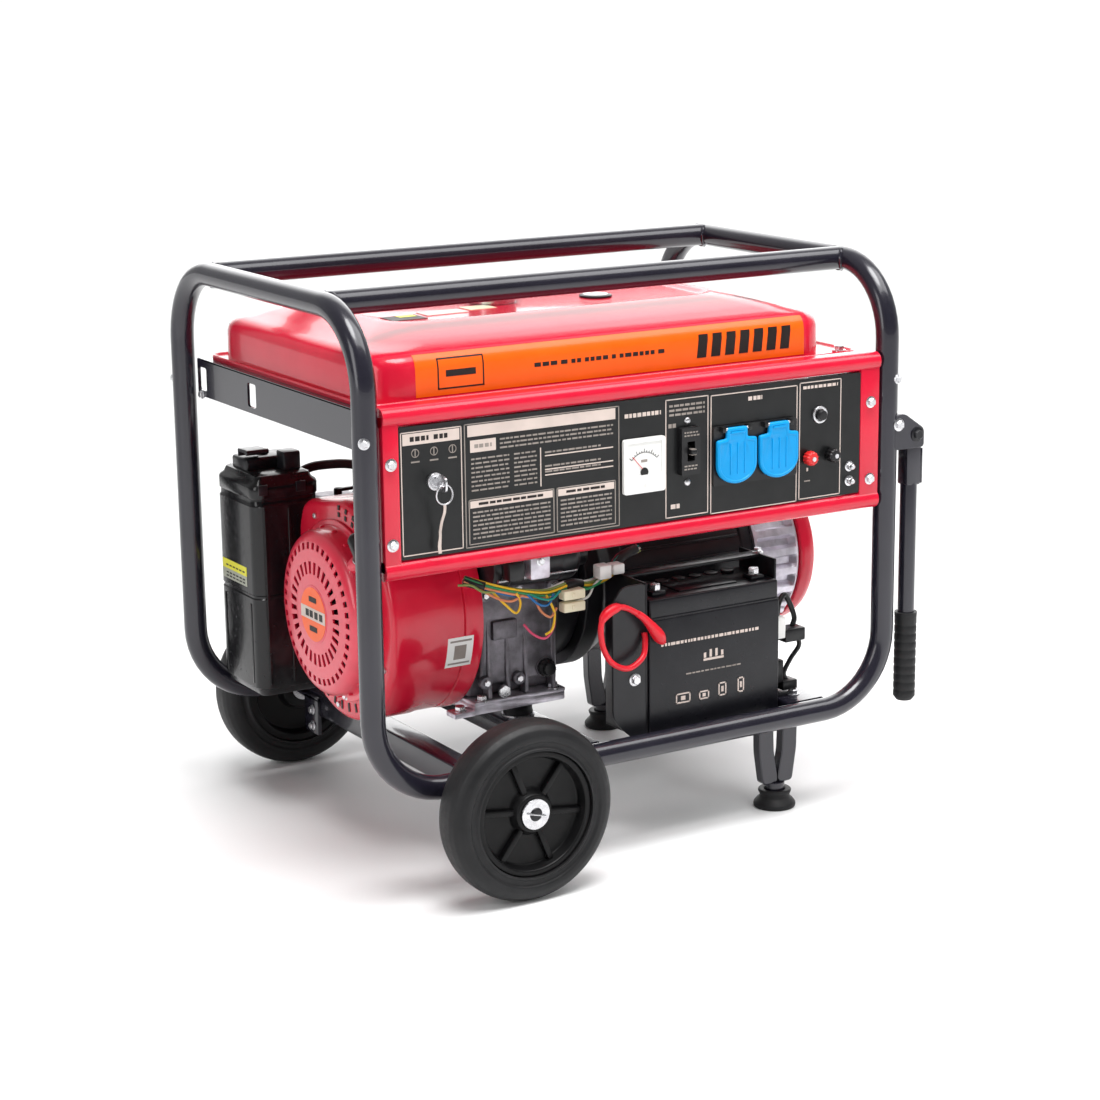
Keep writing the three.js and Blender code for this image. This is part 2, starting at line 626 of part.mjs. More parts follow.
function buildCrankcase() {
  const caseX0 = HOUSING_X1 + GAP;
  const body = union(
    box(caseX0, CASE_WALL_X, -98, 84, 166, 345),
    box(caseX0 + 12, CASE_WALL_X - 10, -108, 70, 180, 300),
    cylinderX(92, caseX0, CASE_X1, SHAFT_Y, SHAFT_Z, 28),
    box(caseX0, CASE_WALL_X, -112, 104, MOUNT_TOP_Z + GAP, 168),
  );
  const bore = cylinderX(SHAFT_R + 0.5, caseX0 - 1, CASE_X1 + 1, SHAFT_Y, SHAFT_Z, 28);
  const dipstickHole = cylinderY(8.5, -130, -90, DIPSTICK.x, DIPSTICK.z, 16);
  const seat = onCylinderLine(box(-150, 10, 92, 200, -70, 90));
  add('crankcase', cut(body, bore, dipstickHole, seat), ALUMINIUM);
  const dipstick = union(
    cylinderY(11, -120, -108 - GAP, DIPSTICK.x, DIPSTICK.z, 16),
    cylinderY(8, -110, -96, DIPSTICK.x, DIPSTICK.z, 16),
  );
  add('oil_dipstick', dipstick, BLACK);
}

function buildCylinder() {
  const start = 92 + GAP;
  const parts = [onCylinderLine(box(-128, -24, start, 206, -40, 44))];
  for (let i = 0; i < 6; i += 1) {
    const y = start + 8 + i * 16;
    parts.push(onCylinderLine(box(-138, -14, y, y + 5, -50, 54)));
  }
  parts.push(onCylinderLine(box(-122, -30, 200, 226, -34, 38)));
  parts.push(onCylinderLine(cylinderX(9, -24, 18, 180, 8, 12)));
  add('cylinder', union(...parts), ALUMINIUM);
}

// the housing's outside for g = 0, and its inside for g = wall thickness
function blowerShape(g) {
  const drum = lathedX([[0, HOUSING_X0 + g], [HOUSING_R - 9 - g, HOUSING_X0 + g],
    [HOUSING_R - g, HOUSING_X0 + 9 + g], [HOUSING_R - g, HOUSING_X1], [0, HOUSING_X1]]);
  const back = HOUSING_BACK_Y - g;
  const shroud = prismX([
    [SHAFT_Y, 290], [back, 290], [back, 350 - g / 2], [88 - g, 374 - g], [76 - g, 382 - g],
    [SHAFT_Y, SHAFT_Z + HOUSING_R - g],
  ], HOUSING_X0 + g, -172 - g);
  const inFront = box(HOUSING_X0 - 1, HOUSING_X1 + 1, -HOUSING_R - 20, back, 100, 450);
  return union(drum, shroud).intersect(solid(inFront));
}

function buildBlower() {
  const wall = 3;
  const backOpening = cylinderX(HOUSING_R - wall, HOUSING_X1 - 2, HOUSING_X1 + 1, SHAFT_Y, SHAFT_Z, 32);
  const inside = solid(backOpening).intersect(
    solid(box(HOUSING_X1 - 3, HOUSING_X1 + 2, -HOUSING_R - 20, HOUSING_BACK_Y - wall, 100, 450)),
  );
  const intake = cylinderX(80, HOUSING_X0 - 1, HOUSING_X0 + wall + 1, SHAFT_Y, SHAFT_Z, 28);
  const shell = blowerShape(0).subtract(blowerShape(wall)).subtract(inside);
  add('blower_housing', cut(shell, intake), RED);

  const front = RECOIL_X;
  const back = HOUSING_X0 - GAP;
  const cover = lathedX([[0, front], [38, front], [RECOIL_R - 8, front + 2], [RECOIL_R, front + 9],
    [RECOIL_R + 2, back - 4], [RECOIL_R + 9, back - 3], [RECOIL_R + 9, back],
    [RECOIL_R - 1, back], [RECOIL_R - 4, front + 11], [RECOIL_R - 12, front + 6], [0, front + 4]]);
  const ropeX = front + 20;
  const eyelet = onPullLine(cylinderZ(9, RECOIL_R - 8, RECOIL_R + 10, ropeX, 0, 12));
  add('recoil_cover', solid(cover).add(solid(eyelet)), RED);
  const stem = RECOIL_R + 10 + GAP;
  const pull = union(
    onPullLine(cylinderZ(8, stem, stem + 8, ropeX, 0, 12, 6)),
    onPullLine(slab(ropeX - 9, ropeX + 9, -26, 26, stem + 6, stem + 20, 6, { curveSegments: 2 })),
  );
  add('pull_handle', pull, BLACK);
}

function buildCrankshaft() {
  const fan = lathedX([[0, -252], [34, -252], [34, -244], [FAN_R - 4, -236], [FAN_R, -206], [0, -206]]);
  const blades = Array.from({ length: BLADES }, (unused, i) =>
    box(-246, -216, 40, FAN_R - 4, -2, 2)
      .rotateX((i * 2 * Math.PI) / BLADES)
      .translate(0, SHAFT_Y, SHAFT_Z));
  const shaft = cylinderX(SHAFT_R, -250, BELL_X1 - 2, SHAFT_Y, SHAFT_Z, 24);
  const rotor = cylinderX(57, 50, 222, SHAFT_Y, SHAFT_Z, 24);
  add('crankshaft', union(fan, shaft, rotor, ...blades), STEEL);
}

function buildIntake() {
  const box0 = { x0: -312, x1: -226, y0: 106, y1: 213 };
  const boxZ0 = 145;
  const boxZ1 = 408;
  const cleaner = union(
    slab(box0.x0, box0.x1, box0.y0, box0.y1, boxZ0 + 8, boxZ1 - 12, 14, { curveSegments: 3 }),
    slab(box0.x0 + 5, box0.x1 - 5, box0.y0 + 5, box0.y1 - 5, boxZ0, boxZ1, 11, { curveSegments: 3 }),
    box(-300, -240, 150, 190, boxZ1 - 2, boxZ1 + 14),
    box(-262, -240, 128, 150, boxZ1 - 14, boxZ1 + 22),
  );
  add('air_cleaner', cleaner, BLACK);
  const latch = union(
    cylinderX(3, -304, -276, 140, boxZ1 + 22, 10),
    box(-303, -277, 138, 166, boxZ1 + 20, boxZ1 + 25),
    box(-303, -277, 160, 166, boxZ1 + 14 + GAP, boxZ1 + 24),
  );
  add('air_cleaner_latch', latch, STEEL);
  const carburettor = union(
    box(-210, -160, 136, 176, 318, 366),
    cylinderX(16, box0.x1 + GAP, -150, 156, 346, 16),
    cylinderZ(18, 292, 320, -185, 156, 16),
  );
  add('carburettor', carburettor, ALUMINIUM);
  const choke = union(
    cylinderZ(5, 366 + GAP, 374, -185, 146, 12),
    box(-190, -148, 142, 150, 370, 374),
  );
  add('choke_lever', choke, BLACK);
}

function buildExhaust() {
  const muffler = union(
    standingSlab(24, 222, 348, 452, 84, 198, 36, { curveSegments: 4 }),
    cylinderX(16, 0, 30, 150, 396, 16),
    cylinderX(11, 218, 246, 120, 425, 14),
  );
  add('muffler', muffler, STEEL);
}

// ---------------------------------------------------------------- alternator, battery, wiring
function buildAlternator() {
  const x0 = CASE_X1 + GAP;
  const stator = lathedX([[30, x0], [104, x0], [104, x0 + 22], [STATOR_R + 2, x0 + 40],
    [STATOR_R, x0 + 42], [STATOR_R, STATOR_X1], [62, STATOR_X1], [62, 40], [30, 26], [30, x0]]);
  add('stator_housing', stator, BLACK);
  const bellX0 = STATOR_X1 + GAP;
  const bell = solid(lathedX([[SHAFT_R + 0.6, BELL_X1], [SHAFT_R + 0.6, BELL_X1 - 14], [80, BELL_X1 - 14],
    [84, bellX0], [STATOR_R + 4, bellX0], [STATOR_R + 4, BELL_X1 - 6], [STATOR_R, BELL_X1],
    [SHAFT_R + 0.6, BELL_X1]]));
  const footX0 = bellX0 + 5;
  const footX1 = footX0 + 40;
  const feet = [-1, 1].map((side) => side * ALTERNATOR_MOUNT_Y)
    .map((y) => box(footX0, footX1, y - 18, y + 18, MOUNT_TOP_Z + GAP, 204));
  const ledge = box(ALTERNATOR_X - 22, footX1, -84, 84, MOUNT_TOP_Z + GAP, 164);
  const clearance = cylinderX(84, bellX0 - 1, BELL_X1 - 14, SHAFT_Y, SHAFT_Z, 32);
  const footed = [...feet, ledge].reduce((sum, next) => sum.add(solid(next)), bell);
  add('end_bell', cut(footed, clearance), ALUMINIUM);
  const coverX0 = BELL_X1 + GAP;
  const cover = lathedX([[0, COVER_X1 - 4], [82, COVER_X1 - 4], [90, coverX0], [STATOR_R + 3, coverX0],
    [STATOR_R + 3, COVER_X1 - 12], [STATOR_R - 8, COVER_X1], [0, COVER_X1]]);
  add('end_cover', cover, RED);
}

function buildBattery() {
  const { x0, x1, y0, y1, z0, z1 } = BATTERY;
  const terminals = [x0 + 22, x1 - 22].map((x) => box(x - 10, x + 10, y0 + 12, y0 + 32, z1 - 1, z1 + 12));
  const body = union(
    box(x0, x1, y0, y1, z0, z1 - 22),
    box(x0 + 3, x1 - 3, y0 + 3, y1 - 3, z1 - 23, z1),
    ...terminals,
  );
  add('battery', body, BLACK);
  const sheet = 2.7;                    // pressed sheet under and round the battery
  const low = z0 - GAP - sheet;
  const high = z1 + 20;
  const left = x0 - 48;
  const bracket = [[x0 - 3, low], [x0 - 3, high], [x0 - 34, high], [left, high - 16], [left, 152],
    [x0 - 38, 138], [x0 - 14, low]];
  const tray = union(
    box(x0 - 5, x1 + 5, y0 - 4, y1 + 8, low, z0 - GAP),
    prismY(bracket, y0 + 1, y0 + 4),
    box(x0 - 5, x0 - 2, y0 + 1, y1 + 8, low, high),
    box(x1 + 2, x1 + 5, y0 + 14, y1 + 8, low, high),
    box(x1 + 2, x1 + 30, y0 + 14, y1, BEAM_TOP_Z + GAP, BEAM_TOP_Z + GAP + sheet),
    box(x0 - 5, x1 + 5, y0 + 44, y0 + 62, z1 + 16, high),
  );
  add('battery_tray', tray, BLACK);
}

const BATTERY_LEAD = [[38, -214, 236], [24, -219, 214], [-4, -222, 205], [-30, -222, 220],
  [-40, -221, 246], [-28, -219, 267], [-6, -216, 272], [16, -214, 264], [30, -213, 274],
  [36, -212, 296], [40, -206, 302], [46, -198, 303]];
const HARNESS = [[-188, -160, 326], [-160, -172, 316], [-124, -174, 306], [-90, -172, 300],
  [-58, -170, 306], [-30, -160, 300], [4, -150, 304], [30, -138, 318], [60, -126, 322]];

function buildWiring() {
  add('positive_cable', cable(BATTERY_LEAD, 4.2, 30), CABLE_RED);
  add('wiring_harness', cable(HARNESS, 6, 20), BLACK);
  const starter = union(
    cylinderX(28, HOUSING_X1 + 4, -34, -132, 330, 20),
    cylinderX(15, -36, -18, -132, 330, 16),
  );
  add('starter_motor', starter, BLACK);
}

buildFrame();
buildChassis();
buildAxle();
buildWheels();
buildHandles();
buildTankBrackets();
buildTank();
buildPanel();
buildBreaker();
buildSockets();
buildControls();
buildCrankcase();
buildCylinder();
buildBlower();
buildCrankshaft();
buildIntake();
buildExhaust();
buildAlternator();
buildBattery();
buildWiring();

export default generator;
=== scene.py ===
"""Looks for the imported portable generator: smooth tubes, pressed tank, printed panel, castings, wiring.

Sizes are millimetres from the middle of the tube frame, as in the part's own drawing.
Piece.done() turns them into the frame's metres.
"""
import math
import random

import bmesh
import bpy
from mathutils import Matrix, Vector


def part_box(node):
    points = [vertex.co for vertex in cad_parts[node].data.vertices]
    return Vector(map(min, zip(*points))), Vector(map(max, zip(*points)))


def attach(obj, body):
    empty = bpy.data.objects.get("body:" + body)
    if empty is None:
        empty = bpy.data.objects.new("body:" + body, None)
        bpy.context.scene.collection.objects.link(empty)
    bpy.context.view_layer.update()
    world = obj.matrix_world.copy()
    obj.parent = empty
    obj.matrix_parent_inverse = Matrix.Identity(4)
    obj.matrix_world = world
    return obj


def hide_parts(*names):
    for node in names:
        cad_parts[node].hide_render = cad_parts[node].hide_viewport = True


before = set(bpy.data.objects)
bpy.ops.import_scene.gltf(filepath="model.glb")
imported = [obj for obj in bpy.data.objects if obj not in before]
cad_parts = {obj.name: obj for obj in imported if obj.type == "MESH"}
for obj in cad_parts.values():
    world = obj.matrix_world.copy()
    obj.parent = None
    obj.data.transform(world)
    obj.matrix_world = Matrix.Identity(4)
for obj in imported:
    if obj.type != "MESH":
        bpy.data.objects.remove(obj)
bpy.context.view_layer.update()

SCENE = bpy.context.scene

# ---------------------------------------------------------------- the frame's own measures
MM = 0.001
_rail_low, _rail_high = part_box("front_bottom_rail")
SHIFT_X = (_rail_low.x + _rail_high.x) / 2
TO_ROW = Matrix.Translation((SHIFT_X, 0, 0)) @ Matrix.Scale(MM, 4)

# ---------------------------------------------------------------- driving dimensions
HOOP_X = 338
POST_Y = 229
TUBE_R = 13.5
BEND_R = 85
RAIL_Z = 122
TOP_Z = 639
TOP_RAIL_Y = 142
WELD_Z = 215

PANEL_X = 322
PANEL_Z0, PANEL_Z1 = 358, 541
PANEL_BAR = 21
PANEL_FRONT = -240
PLATE_Y = -236
PLATE_X0, PLATE_X1 = -302.7, 294.7

TANK_X0, TANK_X1, TANK_Y = -312, 283, 200
SHAFT_Y, SHAFT_Z = -8, 270
ON_SHAFT = ("X", (0, SHAFT_Y, SHAFT_Z))
WHEEL_X, WHEEL_Z = -187, 100
AXLE_END = 309
HANDLE_X, HANDLE_Z = 374, 440
FOOT_X, FOOT_Y = 212, 190
ENGINE_X, ALTERNATOR_X = -75, 237
ENGINE_MOUNT_Y, ENGINE_MOUNT_R = 80, 19
ALTERNATOR_MOUNT_Y, ALTERNATOR_MOUNT_R = 62, 17
SHARP_ANGLE = math.radians(38)
SIDES = (("front", -1), ("back", 1))


# ---------------------------------------------------------------- materials
def node(tree, kind, settings=None, **inputs):
    """Adds a shader node with its settings and input values."""
    made = tree.nodes.new(kind)
    for key, value in (settings or {}).items():
        setattr(made, key, value)
    for key, value in inputs.items():
        made.inputs[key.replace("_", " ")].default_value = value
    return made


def mixed(tree, factor, a, b):
    """A colour mix of a and b, each a colour or a socket, by a factor socket."""
    mix = node(tree, "ShaderNodeMix", {"data_type": "RGBA"})
    tree.links.new(factor, mix.inputs[0])
    for socket, value in ((mix.inputs[6], a), (mix.inputs[7], b)):
        if isinstance(value, bpy.types.NodeSocket):
            tree.links.new(value, socket)
        else:
            socket.default_value = (*value, 1)
    return mix.outputs[2]


def ranged(tree, source, low, high, to_low, to_high):
    """A socket's value moved from one range to another."""
    scaled = node(tree, "ShaderNodeMapRange")
    tree.links.new(source, scaled.inputs[0])
    for index, value in enumerate((low, high, to_low, to_high), 1):
        scaled.inputs[index].default_value = value
    return scaled.outputs[0]


def surface(name, color, rough, metal=0.0, mottle=0.08, mottle_mm=30, spread=0.06, grain=0.1,
            grain_mm=0.8, coat=0.0, worn=None, dust=0.0, stretch=(1, 1, 1), specular=0.5):
    """A procedural finish: broad colour drift, fine grain, uneven gloss, rubbed edges and settled dust."""
    made = bpy.data.materials.new(name)
    made.use_nodes = True
    made.diffuse_color = (*color, 1)
    tree = made.node_tree
    shader = tree.nodes["Principled BSDF"]
    shader.inputs["Metallic"].default_value = metal
    shader.inputs["Coat Weight"].default_value = coat
    shader.inputs["Coat Roughness"].default_value = 0.06
    shader.inputs["Specular IOR Level"].default_value = specular
    place = node(tree, "ShaderNodeTexCoord")
    stretched = node(tree, "ShaderNodeMapping", Scale=stretch)
    tree.links.new(place.outputs["Object"], stretched.inputs[0])

    def cloud(size_mm, detail):
        made_noise = node(tree, "ShaderNodeTexNoise", Scale=1 / (size_mm * MM), Detail=detail)
        tree.links.new(stretched.outputs[0], made_noise.inputs["Vector"])
        return made_noise.outputs["Fac"]

    broad, fine = cloud(mottle_mm, 4), cloud(mottle_mm / 7, 5)
    darker = [c * (1 - mottle) for c in color]
    lighter = [min(1, c * (1 + mottle) + 0.002) for c in color]
    tint = mixed(tree, ranged(tree, broad, 0.35, 0.65, 0, 1), darker, lighter)
    geometry = node(tree, "ShaderNodeNewGeometry")
    if worn:
        edge = ranged(tree, geometry.outputs["Pointiness"], 0.55, 0.7, 0, 0.55)
        patchy = node(tree, "ShaderNodeMath", {"operation": "MULTIPLY"})
        tree.links.new(edge, patchy.inputs[0])
        tree.links.new(ranged(tree, fine, 0.4, 0.62, 0, 1), patchy.inputs[1])
        tint = mixed(tree, patchy.outputs[0], tint, worn)
    if dust:
        up = node(tree, "ShaderNodeSeparateXYZ")
        tree.links.new(geometry.outputs["Normal"], up.inputs[0])
        settled = node(tree, "ShaderNodeMath", {"operation": "MULTIPLY"})
        tree.links.new(ranged(tree, up.outputs["Z"], 0.2, 1.0, 0, dust), settled.inputs[0])
        tree.links.new(ranged(tree, broad, 0.3, 0.7, 0.3, 1), settled.inputs[1])
        tint = mixed(tree, settled.outputs[0], tint, (0.42, 0.39, 0.36))
    tree.links.new(tint, shader.inputs["Base Color"])
    tree.links.new(ranged(tree, fine, 0.3, 0.7, max(0.03, rough - spread), min(1, rough + spread)),
                   shader.inputs["Roughness"])
    bump = node(tree, "ShaderNodeBump", Strength=grain, Distance=grain_mm * MM)
    tree.links.new(cloud(grain_mm * 1.6, 3), bump.inputs["Height"])
    tree.links.new(bump.outputs[0], shader.inputs["Normal"])
    return made


FRAME_GREY = surface("frame_grey", (0.012, 0.011, 0.0195), 0.25, metal=0.1, mottle_mm=60, spread=0.02,
                     grain=0.004, grain_mm=4, coat=0.45, dust=0.012, specular=0.5)
RED = surface("red_enamel", (0.62, 0.008, 0.034), 0.24, mottle=0.04, mottle_mm=60, spread=0.03, grain=0.015,
              grain_mm=3, coat=0.4, specular=0.32)
RECOIL_RED = surface("red_moulding", (0.7, 0.014, 0.05), 0.34, mottle=0.05, grain=0.04, grain_mm=0.9,
                     coat=0.5, dust=0.04, specular=0.7)
TYRE = surface("tyre_rubber", (0.007, 0.007, 0.008), 0.5, mottle=0.2, mottle_mm=45, grain=0.12, grain_mm=0.9,
               dust=0.025, specular=0.35)
RUBBER = surface("moulded_rubber", (0.009, 0.009, 0.01), 0.55, grain=0.15, grain_mm=0.6, dust=0.03,
                 specular=0.35)
RIM_BLACK = surface("rim_plastic", (0.0032, 0.0032, 0.0036), 0.4, grain=0.06, grain_mm=0.6, specular=0.22)
BLACK = surface("black_plastic", (0.007, 0.007, 0.008), 0.34, grain=0.1, grain_mm=0.6, dust=0.02,
                specular=0.4)
GLOSS_BLACK = surface("gloss_black", (0.006, 0.006, 0.007), 0.22, mottle_mm=50, grain=0.03, grain_mm=2.5,
                      coat=0.12, dust=0.02, specular=0.32)
BATTERY_BLACK = surface("battery_plastic", (0.0062, 0.0062, 0.009), 0.3, mottle=0.1, spread=0.03, grain=0.03,
                        grain_mm=0.8, dust=0.01, specular=0.35)
PLATE_BLACK = surface("panel_black", (0.0055, 0.006, 0.0065), 0.36, mottle=0.12, grain=0.04, grain_mm=1.2,
                      dust=0.01, specular=0.35)
STEEL_BLACK = surface("black_steel", (0.0095, 0.0095, 0.012), 0.32, metal=0.1, spread=0.04, grain=0.05,
                      grain_mm=1.2, worn=(0.05, 0.05, 0.055), dust=0.02, specular=0.42)
PRINT = surface("pale_print", (0.62, 0.52, 0.47), 0.5, mottle=0.06, grain=0.02)
PRINT_DIM = surface("dim_print", (0.27, 0.235, 0.21), 0.5, mottle=0.12, grain=0.02)
# Dark ink for print; the same dark colour also fills slots and vents as painted shade of their openings.
INK_AND_SLOT_SHADE = surface("dark_ink_and_slot_shade", (0.014, 0.01, 0.009), 0.45, mottle=0.1, grain=0.02, specular=0.3)
ORANGE = surface("orange_film", (0.9, 0.11, 0.0015), 0.34, mottle=0.03, grain=0.01, coat=0.15, specular=0.35)
WHITE = surface("white_plastic", (0.8, 0.8, 0.78), 0.33, mottle=0.02, grain=0.04, grain_mm=0.8)
BLUE = surface("blue_plastic", (0.0, 0.3, 0.68), 0.36, mottle=0.04, grain=0.05, grain_mm=0.7, specular=0.28)
RED_PLASTIC = surface("red_plastic", (0.7, 0.02, 0.02), 0.36, mottle=0.06, grain=0.08, grain_mm=0.6)
CABLE_RED = surface("cable_red", (0.68, 0.006, 0.02), 0.36, mottle=0.08, grain=0.05, grain_mm=1.0)
ALUMINIUM = surface("cast_aluminium", (0.2, 0.188, 0.21), 0.44, metal=0.7, mottle=0.3, mottle_mm=18,
                    spread=0.12, grain=0.35, grain_mm=1.1, worn=(0.42, 0.4, 0.44), dust=0.04)
# Lighter silver casting: the end bell's and relay's own colour, and on the crankcase's base flange and foot
# lug a painted highlight where overhead light catches them.
SILVER_CAST_AND_FLANGE_HIGHLIGHT = surface("silver_casting_and_flange_highlight", (0.66, 0.63, 0.7), 0.38, metal=0.75, mottle=0.16, mottle_mm=14,
                      spread=0.1, grain=0.25, grain_mm=1.0, dust=0.03)
MACHINED = surface("machined_aluminium", (0.62, 0.61, 0.64), 0.28, metal=0.95, mottle=0.08, grain=0.08,
                   grain_mm=0.5, stretch=(1, 1, 9))
ZINC = surface("zinc_plate", (0.66, 0.66, 0.68), 0.27, metal=0.95, mottle=0.1, mottle_mm=8, grain=0.08,
               grain_mm=0.5, stretch=(1, 5, 1))
YELLOW = surface("yellow_film", (0.72, 0.68, 0.04), 0.4, mottle=0.04, grain=0.02)
LABEL_GREY = surface("label_grey", (0.36, 0.37, 0.3), 0.4, mottle=0.12, mottle_mm=6, grain=0.02)
CREAM = surface("cream_nylon", (0.78, 0.72, 0.52), 0.42, mottle=0.05, grain=0.06, grain_mm=0.7)
WIRE_COLORS = {
    "yellow": (0.78, 0.47, 0.02), "green": (0.02, 0.22, 0.08), "blue": (0.015, 0.15, 0.4),
    "pink": (0.6, 0.06, 0.14), "olive": (0.2, 0.26, 0.07), "white": (0.7, 0.69, 0.65),
    "orange": (0.62, 0.22, 0.1), "teal": (0.0, 0.24, 0.2),
}
WIRES = {colour: surface(f"wire_{colour}", value, 0.4, mottle=0.06, grain=0.04)
         for colour, value in WIRE_COLORS.items()}


# ---------------------------------------------------------------- drawing helpers
def across(axis):
    """Two directions square to an axis, so that u x v = axis."""
    u = Vector((0, 0, 1)) if abs(axis.z) < 0.9 else Vector((1, 0, 0))
    u = (u - axis * u.dot(axis)).normalized()
    return u, axis.cross(u)


FORWARD = (0, -1, 0)
AXES = {"X": Vector((1, 0, 0)), "Y": Vector((0, 1, 0)), "Z": Vector((0, 0, 1))}


def axis_of(axis):
    return AXES[axis] if isinstance(axis, str) else Vector(axis).normalized()


def filleted(points, radius, steps=3, closed=False):
    """A 2-D outline with its corners rounded."""
    points = [Vector(p) for p in points]
    count = len(points)
    rounded = []
    for i, corner in enumerate(points):
        if not closed and i in (0, count - 1):
            rounded.append(corner)
            continue
        back, ahead = points[i - 1] - corner, points[(i + 1) % count] - corner
        reach = min(radius, back.length * 0.45, ahead.length * 0.45)
        start, end = corner + back.normalized() * reach, corner + ahead.normalized() * reach
        for k in range(steps + 1):
            t = k / steps
            rounded.append(start * (1 - t) ** 2 + corner * 2 * t * (1 - t) + end * t ** 2)
    return rounded


def rounded_outline(x0, x1, y0, y1, radius, steps=8):
    """A rectangle with round corners, counter-clockwise from its lower right."""
    corners = ((x1, y0, -90), (x1, y1, 0), (x0, y1, 90), (x0, y0, 180))
    outline = []
    for x, y, start in corners:
        centre_x = x - radius if x == x1 else x + radius
        centre_y = y - radius if y == y1 else y + radius
        for k in range(steps + 1):
            angle = math.radians(start + 90 * k / steps)
            outline.append((centre_x + radius * math.cos(angle), centre_y + radius * math.sin(angle)))
    return outline


def circle(x, y, radius, sides=24):
    turns = [2 * math.pi * k / sides for k in range(sides)]
    return [(x + radius * math.cos(turn), y + radius * math.sin(turn)) for turn in turns]


def bent(corners, radius, steps=12):
    """A route through corner points, with a round bend at each."""
    corners = [Vector(c) for c in corners]
    route = [corners[0]]
    for before, corner, after in zip(corners, corners[1:], corners[2:]):
        back, ahead = (before - corner).normalized(), (after - corner).normalized()
        half = back.angle(ahead) / 2
        centre = corner + (back + ahead).normalized() * (radius / math.sin(half))
        start = corner + back * (radius / math.tan(half)) - centre
        turn_axis = (-back).cross(ahead).normalized()
        for k in range(steps + 1):
            turn = Matrix.Rotation((math.pi - 2 * half) * k / steps, 3, turn_axis)
            route.append(centre + turn @ start)
    return route + [corners[-1]]


def smooth_route(points, per_span=6):
    """A Catmull-Rom curve through the points."""
    points = [Vector(p) for p in points]
    padded = [2 * points[0] - points[1], *points, 2 * points[-1] - points[-2]]
    route = []
    for a, b, c, d in zip(padded, padded[1:], padded[2:], padded[3:]):
        for k in range(per_span):
            t = k / per_span
            route.append(0.5 * ((2 * b) + (c - a) * t + (2 * a - 5 * b + 4 * c - d) * t * t
                                + (3 * b - a - 3 * c + d) * t ** 3))
    return route + [points[-1]]


